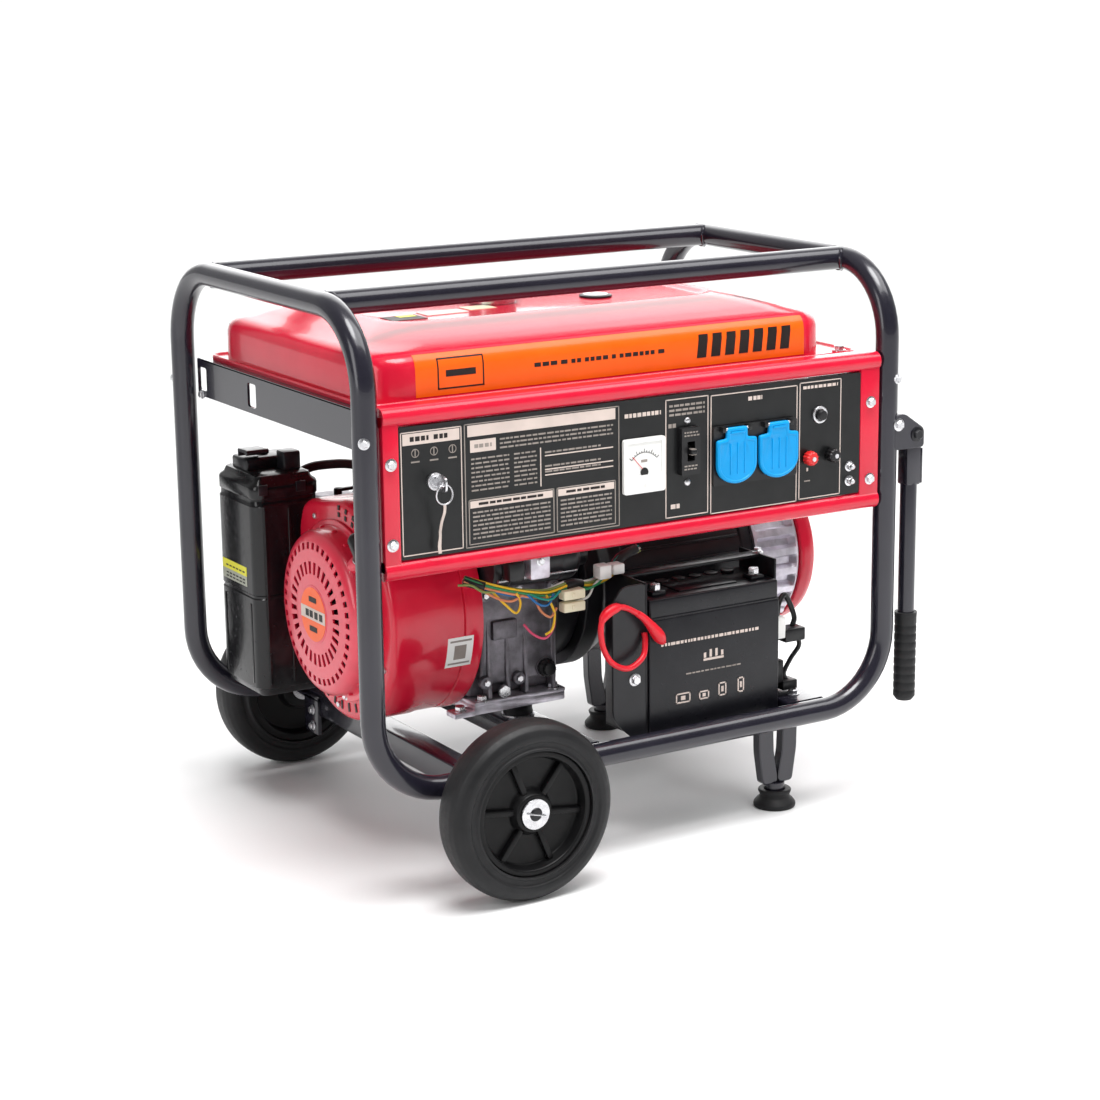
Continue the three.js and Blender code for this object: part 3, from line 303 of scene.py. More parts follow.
class Piece:
    """Shapes gathered in one mesh, each with its own finish, that become one object."""

    def __init__(self, name, body="chassis", stands_for=(), slot=None):
        self.name, self.body, self.stands_for, self.slot = name, body, stands_for, slot
        self.mesh = bmesh.new()
        self.finishes = []

    def paint(self, faces, finish):
        """Gives faces a finish, and a slot for it if it is new here."""
        if finish not in self.finishes:
            self.finishes.append(finish)
        index = self.finishes.index(finish)
        for face in faces:
            face.material_index = index
            face.smooth = True
        return faces

    def skin(self, rings, finish, loop=False, caps=True):
        """Skins rings of points that all have the same count."""
        rows = [[self.mesh.verts.new(p) for p in ring] for ring in rings]
        pairs = list(zip(rows, rows[1:])) + ([(rows[-1], rows[0])] if loop else [])
        faces = []
        for low, high in pairs:
            count = len(low)
            for i in range(count):
                j = (i + 1) % count
                faces.append(self.mesh.faces.new((low[i], low[j], high[j], high[i])))
        if caps and not loop:
            faces.append(self.mesh.faces.new(rows[0][::-1]))
            faces.append(self.mesh.faces.new(rows[-1]))
        return self.paint(faces, finish)

    def turned(self, profile, axis, centre, finish, sides=64, flutes=0, flute_depth=0.0, loop=False):
        """Turns [radius, distance along the axis] pairs about an axis through centre."""
        axis, centre = axis_of(axis), Vector(centre)
        u, v = across(axis)
        rings = []
        for radius, along in profile:
            ring = []
            for k in range(sides):
                turn = 2 * math.pi * k / sides
                r = max(radius, 0.02)
                if flutes and radius > 1:
                    r -= flute_depth * (0.5 + 0.5 * math.cos(flutes * turn))
                ring.append(centre + axis * along + (u * math.cos(turn) + v * math.sin(turn)) * r)
            rings.append(ring)
        return self.skin(rings, finish, loop=loop)

    def disc(self, radius, low, high, edge, axis, centre, finish, sides=64):
        """A round slug from low to high along the axis, its rims rounded by edge."""
        profile = [(0, low), (radius, low), (radius, high), (0, high)]
        return self.turned(filleted(profile, edge) if edge else profile, axis, centre, finish, sides=sides)

    def collar(self, inner, outer, low, high, edge, axis, centre, finish, sides=64):
        """A flat ring from low to high along the axis, its corners rounded by edge."""
        section = filleted([(inner, low), (outer, low), (outer, high), (inner, high)], edge, closed=True)
        return self.turned(section, axis, centre, finish, sides=sides, loop=True)

    def tube(self, route, radius, finish, sides=24):
        """A round tube along a route. The radius is one number or one for each point."""
        route = [Vector(p) for p in route]
        radii = radius if isinstance(radius, (list, tuple)) else [radius] * len(route)
        side = None
        rings = []
        for i, point in enumerate(route):
            ahead = (route[min(i + 1, len(route) - 1)] - route[max(i - 1, 0)]).normalized()
            side = across(ahead)[0] if side is None else (side - ahead * side.dot(ahead)).normalized()
            other = ahead.cross(side)
            turns = [2 * math.pi * k / sides for k in range(sides)]
            rings.append([point + (side * math.cos(t) + other * math.sin(t)) * radii[i] for t in turns])
        return self.skin(rings, finish)

    def box(self, x0, x1, y0, y1, z0, z1, finish, bevel=1.0, segments=2):
        """A block between two corners, its edges rounded unless bevel is 0."""
        place = Matrix.Translation(((x0 + x1) / 2, (y0 + y1) / 2, (z0 + z1) / 2))
        size = Matrix.Diagonal((x1 - x0, y1 - y0, z1 - z0, 1))
        made = bmesh.ops.create_cube(self.mesh, size=1, matrix=place @ size)["verts"]
        if bevel:
            edges = list({edge for vert in made for edge in vert.link_edges})
            made = bmesh.ops.bevel(self.mesh, geom=edges, offset=bevel, offset_type="OFFSET",
                                   segments=segments, profile=0.5, affect="EDGES")["verts"]
        return self.paint(list({face for vert in made for face in vert.link_faces}), finish)

    def prism(self, outline, axis, start, end, finish, bevel=0.6, holes=()):
        """Extrudes an outline, with holes if wanted.

        X takes (y, z) points, Y takes (x, z) and Z takes (x, y).
        """
        def raised(point, along):
            a, b = point
            return {"X": (along, a, b), "Y": (a, along, b), "Z": (a, b, along)}[axis]

        loops = [list(outline), *[list(hole) for hole in holes]]
        if not holes:
            levels = [(start, bevel), (start + (bevel if end > start else -bevel), 0),
                      (end - (bevel if end > start else -bevel), 0), (end, bevel)]
            if not bevel:
                levels = [(start, 0), (end, 0)]
            rings = []
            for along, inset in levels:
                rings.append([raised(p, along) for p in inset_outline(loops[0], inset)])
            return self.skin(rings, finish)
        low = [[self.mesh.verts.new(raised(p, start)) for p in loop] for loop in loops]
        high = [[self.mesh.verts.new(raised(p, end)) for p in loop] for loop in loops]
        faces = []
        for a, b in zip(low, high):
            for i in range(len(a)):
                j = (i + 1) % len(a)
                faces.append(self.mesh.faces.new((a[i], a[j], b[j], b[i])))
        for side in (low, high):
            edges = []
            for loop in side:
                edges += [self.mesh.edges.get((loop[i], loop[(i + 1) % len(loop)]))
                          for i in range(len(loop))]
            filled = bmesh.ops.triangle_fill(self.mesh, edges=edges, use_beauty=True, use_dissolve=False)
            faces += [item for item in filled["geom"] if isinstance(item, bmesh.types.BMFace)]
        return self.paint(faces, finish)

    def bolt(self, centre, axis, size, finish=None, height=None, washer=True):
        """A hexagon head with a chamfered top, standing on a round washer."""
        finish = finish or ZINC
        height = height or size * 0.4
        base = 0
        if washer:
            self.turned([(0, -1), (size * 0.68, -1), (size * 0.68, size * 0.07), (size * 0.62, size * 0.1),
                         (0, size * 0.1)], axis, centre, finish, sides=24)
            base = size * 0.1
        self.turned([(0, base), (size * 0.5, base), (size * 0.5, base + height * 0.8),
                     (size * 0.42, base + height), (0, base + height)], axis, centre, finish, sides=6)

    def screw(self, centre, axis, radius, finish=None):
        """A round-headed screw."""
        finish = finish or ZINC
        self.turned([(0, -0.5), (radius, -0.5), (radius, radius * 0.15), (radius * 0.8, radius * 0.42),
                     (radius * 0.4, radius * 0.55), (0, radius * 0.58)], axis, centre, finish, sides=24)

    def placed(self, faces, matrix):
        """Moves faces just made."""
        verts = list({vert for face in faces if face.is_valid for vert in face.verts})
        bmesh.ops.transform(self.mesh, matrix=matrix, verts=verts)
        return faces

    def done(self):
        """Makes the object, in the frame's metres, on its body."""
        bmesh.ops.recalc_face_normals(self.mesh, faces=self.mesh.faces)
        self.mesh.transform(TO_ROW)
        data = bpy.data.meshes.new(self.name)
        self.mesh.to_mesh(data)
        self.mesh.free()
        for finish in self.finishes:
            data.materials.append(finish)
        data.set_sharp_from_angle(angle=SHARP_ANGLE)
        made = bpy.data.objects.new(self.name, data)
        SCENE.collection.objects.link(made)
        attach(made, self.body)
        if self.stands_for:
            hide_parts(*self.stands_for)
        return made


def inset_outline(outline, amount):
    """A closed 2-D outline moved inwards by an amount."""
    points = [Vector(p) for p in outline]
    if not amount:
        return points
    area = sum(a.x * b.y - b.x * a.y for a, b in zip(points, points[1:] + points[:1]))
    sign = 1 if area > 0 else -1
    moved = []
    for i, point in enumerate(points):
        before, after = point - points[i - 1], points[(i + 1) % len(points)] - point
        n1 = Vector((-before.y, before.x)).normalized()
        n2 = Vector((-after.y, after.x)).normalized()
        middle = (n1 + n2).normalized()
        moved.append(point + middle * sign * amount / max(0.5, middle.dot(n1)))
    return moved


def on_ring(x, radius, turn):
    """A point round the engine shaft."""
    return (x, SHAFT_Y + radius * math.cos(turn), SHAFT_Z + radius * math.sin(turn))


def turned_at(place, turn):
    """Moves a shape made at the origin to a place, turned about X."""
    return Matrix.Translation(place) @ Matrix.Rotation(turn, 4, "X")


def stacked(outline, levels):
    """Rings of one outline for a list of [height, inset] pairs."""
    return [[(x, y, z) for x, y in inset_outline(outline, inset)] for z, inset in levels]


# ---------------------------------------------------------------- tube frame
def build_tube_frame():
    for side, sign in (("left", -1), ("right", 1)):
        x = sign * HOOP_X
        hoop = Piece(f"{side}_hoop_tube", stands_for=[f"{side}_end_hoop"], slot="frame_paint")
        hoop.tube(bent([(x, -POST_Y, WELD_Z), (x, -POST_Y, TOP_Z), (x, POST_Y, TOP_Z), (x, POST_Y, WELD_Z)],
                       BEND_R), TUBE_R, FRAME_GREY, sides=36)
        if sign > 0:
            for y in (-POST_Y, POST_Y):
                handle_bracket(hoop, y)
        hoop.done()
    for side, sign in SIDES:
        y = sign * POST_Y
        rail = Piece(f"{side}_bottom_tube", stands_for=[f"{side}_bottom_rail"], slot="frame_paint")
        rail.tube(bent([(-HOOP_X, y, WELD_Z), (-HOOP_X, y, RAIL_Z), (HOOP_X, y, RAIL_Z),
                        (HOOP_X, y, WELD_Z)],
                       BEND_R), TUBE_R, FRAME_GREY, sides=36)
        rail.done()
        y = sign * TOP_RAIL_Y
        reach = HOOP_X - 4
        top = Piece(f"{side}_top_tube", stands_for=[f"{side}_top_rail"], slot="frame_paint")
        steps = [(-reach + 2 * reach * k / 12, y, TOP_Z) for k in range(13)]
        top.tube(steps, TUBE_R, FRAME_GREY, sides=36)
        for end in (-1, 1):
            weld_bead(top, end, y)
        top.done()


def weld_bead(piece, end, y):
    """The weld round a top rail where it meets the hoop: a lumpy ring on the two tubes' crossing."""
    ring = []
    for k in range(49):
        turn = 2 * math.pi * k / 48
        dy, dz = TUBE_R * math.cos(turn), TUBE_R * math.sin(turn)
        from_hoop = math.sqrt(max(0, TUBE_R ** 2 - dz ** 2))
        lump = 0.25 * math.sin(k * 2.1)
        ring.append((end * (HOOP_X - from_hoop - 0.6), y + dy * 1.03 + lump * 0.3,
                     TOP_Z + min(dz * 1.03, TUBE_R - 2.3)))
    piece.tube(ring, [1.9 + 0.35 * math.sin(k * 1.7) for k in range(49)], FRAME_GREY, sides=8)


def handle_bracket(piece, y):
    """Two ears and a web that carry a folding handle's bolt."""
    eye_half = 10.5
    z0, z1 = HANDLE_Z - 16, HANDLE_Z + 26
    edge = HANDLE_X + 11
    ear = filleted([(HOOP_X + 4, z0), (edge, z0), (edge, HANDLE_Z + 6), (HANDLE_X - 18, z1),
                    (HOOP_X + 4, z1)], 5,
                   closed=True, steps=4)
    for end in (-1, 1):
        inner, outer = y + end * eye_half, y + end * (eye_half + 3)
        piece.prism(ear, "Y", min(inner, outer), max(inner, outer), FRAME_GREY, bevel=0.5)
        piece.bolt((HOOP_X + 9, y + end * (TUBE_R - 0.4), HANDLE_Z + 14), (0, end, 0), 11, height=4)
    piece.box(HOOP_X + 3, HOOP_X + TUBE_R + 2.5, y - eye_half - 2.5, y + eye_half + 2.5, z0, z1, FRAME_GREY)


def beam(piece, x):
    """A pressed channel across the frame, open below."""
    end = POST_Y - TUBE_R + 2
    half, z0, z1 = 25, RAIL_Z - 12, RAIL_Z + 12
    section = [(x - half, z0), (x - half, z1), (x + half, z1), (x + half, z0), (x + half - 3, z0),
               (x + half - 3, z1 - 3), (x - half + 3, z1 - 3), (x - half + 3, z0)]
    rings = []
    for y in (-end, end):
        rings.append([(px, y, pz) for px, pz in filleted(section, 3.5, closed=True)])
    piece.skin(rings, FRAME_GREY)
    for sign in (-1, 1):
        for edge in (-half - 1, half + 1):
            piece.tube([(x + edge * 0.98, sign * (end - 1), RAIL_Z - 9 + 3 * k) for k in range(7)],
                       [1.7 + 0.4 * math.sin(2.3 * k + sign) for k in range(7)], FRAME_GREY, sides=8)


def build_cross_members():
    front = Piece("engine_beam", stands_for=["engine_cross_member"], slot="frame_paint")
    beam(front, ENGINE_X)
    front.done()
    rear = Piece("alternator_beam_and_legs", stands_for=["alternator_cross_member"], slot="frame_paint")
    beam(rear, ALTERNATOR_X)
    top = RAIL_Z - TUBE_R
    for _, sign in SIDES:
        y = sign * FOOT_Y
        for side in (-1, 1):
            bar = [(side * 7, top), (side * 28, top), (side * 27, 70), (side * 21, 30), (side * 0.5, 30),
                   (side * 0.5, 40), (side * 6, 70)]
            outline = filleted([(FOOT_X + px, pz) for px, pz in bar], 5, closed=True, steps=4)
            rear.prism(outline, "Y", y - 7, y + 7, FRAME_GREY, bevel=1.2)
        rear.disc(11.8, 10.4, 31, 1, "Z", (FOOT_X, y, 0), FRAME_GREY,
                    sides=40)
        rear.box(FOOT_X - 28, ALTERNATOR_X + 25, y - 7, y + 7, top - 2, top + 4, FRAME_GREY)
        rear.bolt((ALTERNATOR_X, y, RAIL_Z + 12), "Z", 12)
    rear.done()
    for side, sign in SIDES:
        foot = Piece(f"{side}_rubber_foot", stands_for=[f"{side}_foot"], slot="rubber")
        profile = filleted([(0, 0), (24, 0), (25, 2), (25, 5), (22, 9), (18, 12.5), (17.6, 15), (20, 20),
                            (19, 22), (12.4, 22), (12.4, 9.8)], 1.6)
        foot.turned([*profile, (0, 9.8)], "Z", (FOOT_X, sign * FOOT_Y, 0), RUBBER, sides=64)
        foot.done()
        mounts = ((f"engine_mount_{side}", ENGINE_X, ENGINE_MOUNT_Y, ENGINE_MOUNT_R),
                  (f"alternator_mount_{side}", ALTERNATOR_X, ALTERNATOR_MOUNT_Y, ALTERNATOR_MOUNT_R))
        for name, x, y, r in mounts:
            mount = Piece(f"{name}_rubber", stands_for=[name], slot="rubber")
            top, low = 151.8, 134.3
            mount.turned(filleted([(0, low + 2), (r - 1, low + 2), (r - 3, (low + top) / 2),
                                   (r - 1, top - 2), (0, top - 2)], 2.5), "Z", (x, sign * y, 0), RUBBER,
                         sides=48)
            for z in (low, top - 2.2):
                mount.disc(r, z, z + 2.2, 0, "Z", (x, sign * y, 0), ZINC, sides=48)
            mount.done()


# ---------------------------------------------------------------- axle and wheels
def build_axle():
    axle = Piece("axle_beam", stands_for=["axle"], slot="frame_paint")
    end = POST_Y - TUBE_R
    axle.box(WHEEL_X - 15, WHEEL_X + 15, -end, end, WHEEL_Z - 15, WHEEL_Z + 15, FRAME_GREY, bevel=3,
             segments=3)
    axle.turned(filleted([(0, -AXLE_END), (6, -AXLE_END), (8, 2 - AXLE_END), (8, AXLE_END - 2),
                          (6, AXLE_END), (0, AXLE_END)], 0.6), "Y",
                (WHEEL_X, 0, WHEEL_Z), STEEL_BLACK, sides=32)
    for _, sign in SIDES:
        away = (0, sign, 0)
        hub_x = (WHEEL_X, 0, WHEEL_Z)
        axle.turned(filleted([(8.1, 305), (17, 305), (17, 307.4), (8.1, 307.4)], 0.6), away, hub_x, ZINC,
                    sides=48)
        axle.turned(filleted([(8.1, 254.5), (14, 254.5), (14, 257.8), (8.1, 257.8)], 0.6), away, hub_x, ZINC,
                    sides=40)
        axle.tube([(WHEEL_X - 11, sign * (AXLE_END - 0.4), WHEEL_Z + 3),
                   (WHEEL_X + 11, sign * (AXLE_END - 0.4), WHEEL_Z - 3)], 1.1, ZINC,
                  sides=8)
        y0, y1 = sorted((sign * 178, sign * (end - 1)))
        axle.box(WHEEL_X - 19, WHEEL_X - 14, y0, y1, 62, WHEEL_Z + 10, FRAME_GREY, bevel=1)
        y0, y1 = sorted((sign * 178, sign * (POST_Y + 12)))
        axle.box(WHEEL_X - 19, WHEEL_X + 15, y0, y1, 104.2, 108.2, FRAME_GREY, bevel=1)
        for z in (72, 92):
            axle.bolt((WHEEL_X - 19, sign * 192, z), (-1, 0, 0), 9)
    axle.done()


def build_wheels():
    for side, sign in SIDES:
        out = (0, sign, 0)
        hub = (WHEEL_X, 0, WHEEL_Z)
        tyre = Piece(f"{side}_tyre_rubber", body=f"{side}_wheel", stands_for=[f"{side}_wheel_tyre"],
                     slot="tyre")
        section = [(70.2, 262), (72, 262), (74, 264.5), (79, 264.5), (81, 262.3), (87, 262.6), (93, 265),
                   (97.5, 270), (99.6, 277), (100, 286), (99.6, 295), (97.5, 302), (93, 307), (87, 309.4),
                   (81, 309.7), (79, 307.6), (74, 307.6), (72, 309.6), (70.2, 309.6)]
        tyre.turned([*filleted(section, 1.6, steps=3), (70.2, 262)][:-1], out, hub, TYRE, sides=128,
                    loop=True)
        tyre.done()
        rim = Piece(f"{side}_rim_moulding", body=f"{side}_wheel", stands_for=[f"{side}_wheel_rim"],
                    slot="black_plastic")
        section = [(8.4, 259), (25.5, 259), (28, 274), (58, 278), (60, 264), (69.9, 264), (69.9, 306.5),
                   (63, 306.5), (60, 293), (26, 293), (21, 304.4), (8.4, 304.4)]
        rim.turned(filleted(section, 2, closed=True, steps=3), out, hub, RIM_BLACK, sides=96, loop=True)
        for k in range(6):
            spin = Matrix.Rotation(math.radians(60 * k + 8), 4, "Y")
            low, high = sorted((sign * 292, sign * 300))
            spoke = rim.box(20, 61.5, low, high, -3.2, 3.2, RIM_BLACK, bevel=1.4)
            rim.placed(spoke, Matrix.Translation(hub) @ spin)
        rim.done()


# ---------------------------------------------------------------- folding handles
def build_handles():
    for side, sign in SIDES:
        y = sign * POST_Y
        arm = Piece(f"{side}_handle_tube", body=f"{side}_handle_arm", stands_for=[f"{side}_handle"],
                    slot="frame_paint")
        arm.disc(10.4, -10, 10, 1, "Y", (HANDLE_X, y, HANDLE_Z), FRAME_GREY,
                   sides=40)
        arm.box(HANDLE_X - 10, HANDLE_X + 11, y - 10, y + 10, HANDLE_Z - 62, HANDLE_Z - 2, FRAME_GREY,
                bevel=3, segments=3)
        arm.box(HANDLE_X + 9, HANDLE_X + 12.5, y - 10, y + 10, HANDLE_Z - 60, HANDLE_Z - 18, FRAME_GREY,
                bevel=1)
        arm.disc(10, 121, HANDLE_Z - 55, 0.5, "Z", (HANDLE_X, y, 0),
                   FRAME_GREY, sides=40)
        for end in (-1, 1):
            arm.bolt((HANDLE_X, y + end * 13.8, HANDLE_Z), (0, end, 0), 12.5, STEEL_BLACK, height=4)
        arm.done()
        grip = Piece(f"{side}_grip_rubber", body=f"{side}_handle_arm", stands_for=[f"{side}_handle_grip"],
                     slot="rubber")
        profile = [(0, 115), (9.5, 115), (13.2, 120)]
        for k in range(9):
            z = 126 + k * 10
            profile += [(13.2, z), (12.6, z + 1), (12.6, z + 2.4), (13.2, z + 3.4)]
        profile += [(13.2, 218), (13.5, 219), (13.5, 223.6), (10.2, 223.8), (10.2, 120.6), (0, 120.6)]
        grip.turned(profile, "Z", (HANDLE_X, y, 0), RUBBER, sides=48)
        grip.done()


# ---------------------------------------------------------------- fuel tank
CAP_AT, GAUGE_AT, TAP_AT = (-60, -10, 0), (60, -40, 0), (-215, -150, 0)
TANK_WALL = [(537, 0), (570, 0.6), (577, 2.2), (582, 5.2), (585.5, 9.5), (588, 16), (590.5, 26)]
TANK_CROWN = [(594, 0.16), (598, 0.38), (602, 0.62), (605, 0.84), (606.6, 0.95), (606.8, 1.0), (605.6, 1.04),
              (603.6, 1.08), (603, 1.13)]
CROWN_INSET = {"front": 86, "back": 86, "left": 74, "right": 100}


def tank_loop(z, insets, radius):
    outline = rounded_outline(TANK_X0 + insets["left"], TANK_X1 - insets["right"], -TANK_Y + insets["front"],
                              TANK_Y - insets["back"], radius, steps=10)
    return [(x, y, z) for x, y in outline]


def build_tank():
    tank = Piece("tank_pressing", stands_for=["fuel_tank"], slot="red_paint")
    loops = [tank_loop(z, dict.fromkeys(CROWN_INSET, inset), 50) for z, inset in TANK_WALL]
    last = TANK_WALL[-1][1]
    for z, share in TANK_CROWN:
        insets = {side: last + (reach - last) * share for side, reach in CROWN_INSET.items()}
        loops.append(tank_loop(z, insets, 50 - 14 * min(1, share)))
    tank.skin(loops, RED)
    flange = rounded_outline(-318, 318, -203, 203, 16)
    lip = ((533.6, 1.5), (532.8, 0.3), (533.6, 0), (538, 0), (539.2, 1.2), (538.4, 3), (537, 4.5))
    tank.skin(stacked(flange, lip), RED)
    pan = rounded_outline(TANK_X0 + 26, TANK_X1 - 4, -TANK_Y + 14, TANK_Y - 14, 36)
    tank.skin(stacked(pan, ((503, 14), (503.8, 8), (507, 3), (512, 0.6), (535, 0))), RED)
    for x, y in ((301, -186), (301, 186), (301, 0)):
        tank.bolt((x, y, 538), "Z", 12)
    tank.turned(filleted([(27, 602), (27, 611), (22.5, 611), (22.5, 602)], 1.5, closed=True), "Z", CAP_AT,
                ZINC, sides=48, loop=True)
    tank.box(-112, -78, -52, -26, 603, 603.5, CREAM, bevel=0)
    tank.box(-172, -120, -62, -36, 603, 603.5, PRINT, bevel=0)
    tank.box(-222, -180, -78, -46, 603, 603.5, INK_AND_SLOT_SHADE, bevel=0)
    tank.box(-205, -184, -60, -48, 603.4, 603.8, YELLOW, bevel=0)
    tank.turned(filleted([(0, 603), (19, 603), (19, 605.5), (16, 606.4), (0, 606.4)], 0.8), "Z", GAUGE_AT,
                BLACK, sides=48)
    tank.disc(14.5, 606.3, 606.6, 0, "Z", GAUGE_AT, WHITE, sides=40)
    tank.box(59.3, 60.7, -48, -30, 606.5, 606.9, RED_PLASTIC, bevel=0)
    tank.done()
    build_band()

    cap = Piece("filler_cap_moulding", body="filler_cap", stands_for=["fuel_cap"], slot="black_plastic")
    cap.turned(filleted([(0, 610.3), (32.6, 610.3), (33, 624), (29, 627), (14, 627), (13, 625.6),
                         (0, 625.6)], 1.6),
               "Z", CAP_AT, BLACK, sides=144, flutes=24, flute_depth=1.4)
    cap.done()
    lever = Piece("tap_lever_moulding", body="tap", stands_for=["fuel_tap_lever"], slot="black_plastic")
    lever.disc(6, 477, 501.5, 0.8, "Z", TAP_AT, BLACK, sides=32)
    lever.prism(filleted([(-220, -176), (-210, -176), (-208.5, -145), (-221.5, -145)], 4, closed=True,
                         steps=4), "Z",
                470, 478, BLACK, bevel=1)
    lever.done()


def wall_y(z):
    """How far forward the tank's front face is at a height."""
    for (z0, inset0), (z1, inset1) in zip(TANK_WALL, TANK_WALL[1:]):
        if z0 <= z <= z1:
            return -TANK_Y + inset0 + (inset1 - inset0) * (z - z0) / (z1 - z0)
    return -TANK_Y


def film(piece, x0, x1, z0, z1, lift, finish, lean=0.0):
    """A thin printed film on the tank's front face."""
    rows = sorted({z0, z1, *[z for z, _ in TANK_WALL if z0 < z < z1]})
    ring_left, ring_right = [], []
    for z in rows:
        slope = lean * (z - z0)
        ring_left.append((x0 + slope, wall_y(z) - lift, z + lift * 0.3))
        ring_right.append((x1 + slope, wall_y(z) - lift, z + lift * 0.3))
    for z in rows[::-1]:
        slope = lean * (z - z0)
        ring_left.append((x0 + slope, wall_y(z) + 0.3, z))
        ring_right.append((x1 + slope, wall_y(z) + 0.3, z))
    piece.skin([ring_left, ring_right], finish)


def build_band():
    band = Piece("tank_band", slot="red_paint")
    film(band, -262, 240, 541, 585, 0.35, ORANGE)
    ink = 0.6
    for x0, x1, z0, z1 in ((-236, -180, 547, 548.6), (-236, -180, 578.4, 580), (-236, -234.4, 547, 580),
                           (-181.6, -180, 547, 580), (-226, -190, 560, 567)):
        film(band, x0, x1, z0, z1, ink, INK_AND_SLOT_SHADE)
    draw = random.Random(5)
    x = -118
    while x < 46:
        width = draw.choice((5, 6.5, 8))
        film(band, x, x + width, 560, 564.5, ink, INK_AND_SLOT_SHADE)
        x += width + draw.choice((2.2, 2.2, 5))
    for k in range(7):
        film(band, 92 + k * 19, 92 + k * 19 + 12.5, 550, 576, ink, INK_AND_SLOT_SHADE, lean=0.12)
    band.done()


def build_tank_brackets():
    end = POST_Y - TUBE_R
    for side, sign in (("left", -1), ("right", 1)):
        x = sign * (HOOP_X - TUBE_R + 2)
        inner = x - sign * 3
        piece = Piece(f"{side}_tank_angle", stands_for=[f"tank_bracket_{side}"], slot="frame_paint")
        plate = rounded_outline(-end, end, 490, 533.7, 3, steps=3)
        slots = [rounded_outline(y - 11, y + 11, 497, 524, 3, steps=3) for y in (208 - 6, 68)]
        piece.prism(plate, "X", min(x, inner), max(x, inner), FRAME_GREY, holes=slots)
        lip = x - sign * 34
        piece.box(min(x, lip), max(x, lip), -end + 12, end - 12, 530.6, 533.6, FRAME_GREY, bevel=0.8)
        for y, z in ((-203, 512), (-190, 495), (205, 492)):
            piece.bolt((x, y, z), (sign, 0, 0), 8)
        piece.done()
    for sign in (-1, 1):
        heads = Piece(f"{'left' if sign < 0 else 'right'}_post_bolts", slot="steel")
        for _, away in SIDES:
            out = Vector((sign * 0.6, away, 0)).normalized()
            heads.bolt(Vector((sign * HOOP_X, away * POST_Y, 508)) + out * (TUBE_R - 0.6), out, 9)
        heads.done()


# ---------------------------------------------------------------- control panel
KEY_X, KEY_Z = -262, 459
METER = (-31, 23, 416, 477)
BREAKER_X, BREAKER_Z = 55, 456
RESET_X, RESET_Z = 236, 477
TERMINAL_Z = 429
EARTH_X, EARTH_Z = 280, (412, 395)
INK_Y = PLATE_Y - 0.25


def patch(piece, x0, x1, z0, z1, finish=None, lift=0.0):
    """A thin printed mark on the panel's face."""
    piece.box(x0, x1, INK_Y - lift, PLATE_Y + 0.3, z0, z1, finish or PRINT, bevel=0)


def outline_box(piece, x0, x1, z0, z1, width=1.1, finish=None):
    """Four printed lines round a field of the panel."""
    for a, b, c, d in ((x0, x1, z0, z0 + width), (x0, x1, z1 - width, z1), (x0, x0 + width, z0, z1),
                       (x1 - width, x1, z0, z1)):
        patch(piece, a, b, c, d, finish)


def text_row(piece, draw, x0, x1, z, height, finish=None, lift=0.0, words=(3, 9), gap=1.3):
    """A row of blank strokes where the real panel has lettering."""
    x = x0
    while x < x1 - 1:
        width = min(draw.uniform(*words), x1 - x)
        patch(piece, x, x + width, z, z + height, finish, lift)
        x += width + gap * draw.uniform(0.8, 1.5)


def build_panel():
    panel = Piece("panel_pressing", stands_for=["panel_frame"], slot="red_paint")
    for z0 in (PANEL_Z0, PANEL_Z1 - PANEL_BAR):
        half = PANEL_BAR / 2
        round_front = [(PANEL_FRONT + half - half * math.sin(t), z0 + half - half * math.cos(t))
                       for t in [math.pi * k / 16 for k in range(17)]]
        outline = [*round_front, (PANEL_FRONT + 24, z0 + PANEL_BAR), (PANEL_FRONT + 24, z0)]
        panel.prism(outline, "X", -PANEL_X, PANEL_X, RED, bevel=0.5)
    for x0, x1 in ((-PANEL_X, -303), (295, PANEL_X)):
        panel.box(x0, x1, PANEL_FRONT + 3, PANEL_FRONT + 24, PANEL_Z0 + 8, PANEL_Z1 - 8, RED, bevel=1.5)
    for x, z in ((-313, 482), (-313, 397), (309, 484), (309, 394)):
        panel.bolt((x, PANEL_FRONT + 3, z), FORWARD, 10)
    panel.done()

    plate = Piece("panel_face", stands_for=["panel_plate"], slot="panel_black")
    z0, z1 = PANEL_Z0 + PANEL_BAR + 0.3, PANEL_Z1 - PANEL_BAR - 0.3
    sheet_outline = rounded_outline(PLATE_X0, PLATE_X1, z0, z1, 2, steps=2)
    holes = [rounded_outline(88, 201.5, 412, 478, 3, steps=2), circle(RESET_X, RESET_Z, 6.4),
             rounded_outline(42.5, 67.5, 429.5, 482.5, 1, steps=2)]
    plate.prism(sheet_outline, "Y", PLATE_Y, PLATE_Y + 3, PLATE_BLACK, holes=holes)
    plate.collar(5.6, 9.4, -4, 0.5, 0.8, "Y", (KEY_X, PLATE_Y, KEY_Z), ZINC, sides=48)
    plate.disc(5.7, -2.5, 20, 0, "Y", (KEY_X, PLATE_Y, KEY_Z), ZINC, sides=40)
    # A dark sheet in the lock face: painted shade of the keyway round the key.
    plate.box(KEY_X - 0.9, KEY_X + 0.9, PLATE_Y - 2.8, PLATE_Y - 2, KEY_Z - 4.5, KEY_Z + 4.5, INK_AND_SLOT_SHADE, bevel=0)
    print_panel(plate)
    plate.collar(6.6, 10, -3, 0.2, 0.8, "Y", (RESET_X, PLATE_Y, RESET_Z), ZINC, sides=40)
    for z in EARTH_Z:
        plate.bolt((EARTH_X, PLATE_Y, z), FORWARD, 9, height=4)
        plate.turned([(0, 0), (3, 0), (3, 8), (2, 9), (0, 9)], FORWARD, (EARTH_X, PLATE_Y, z), ZINC,
                     sides=20)
    plate.done()


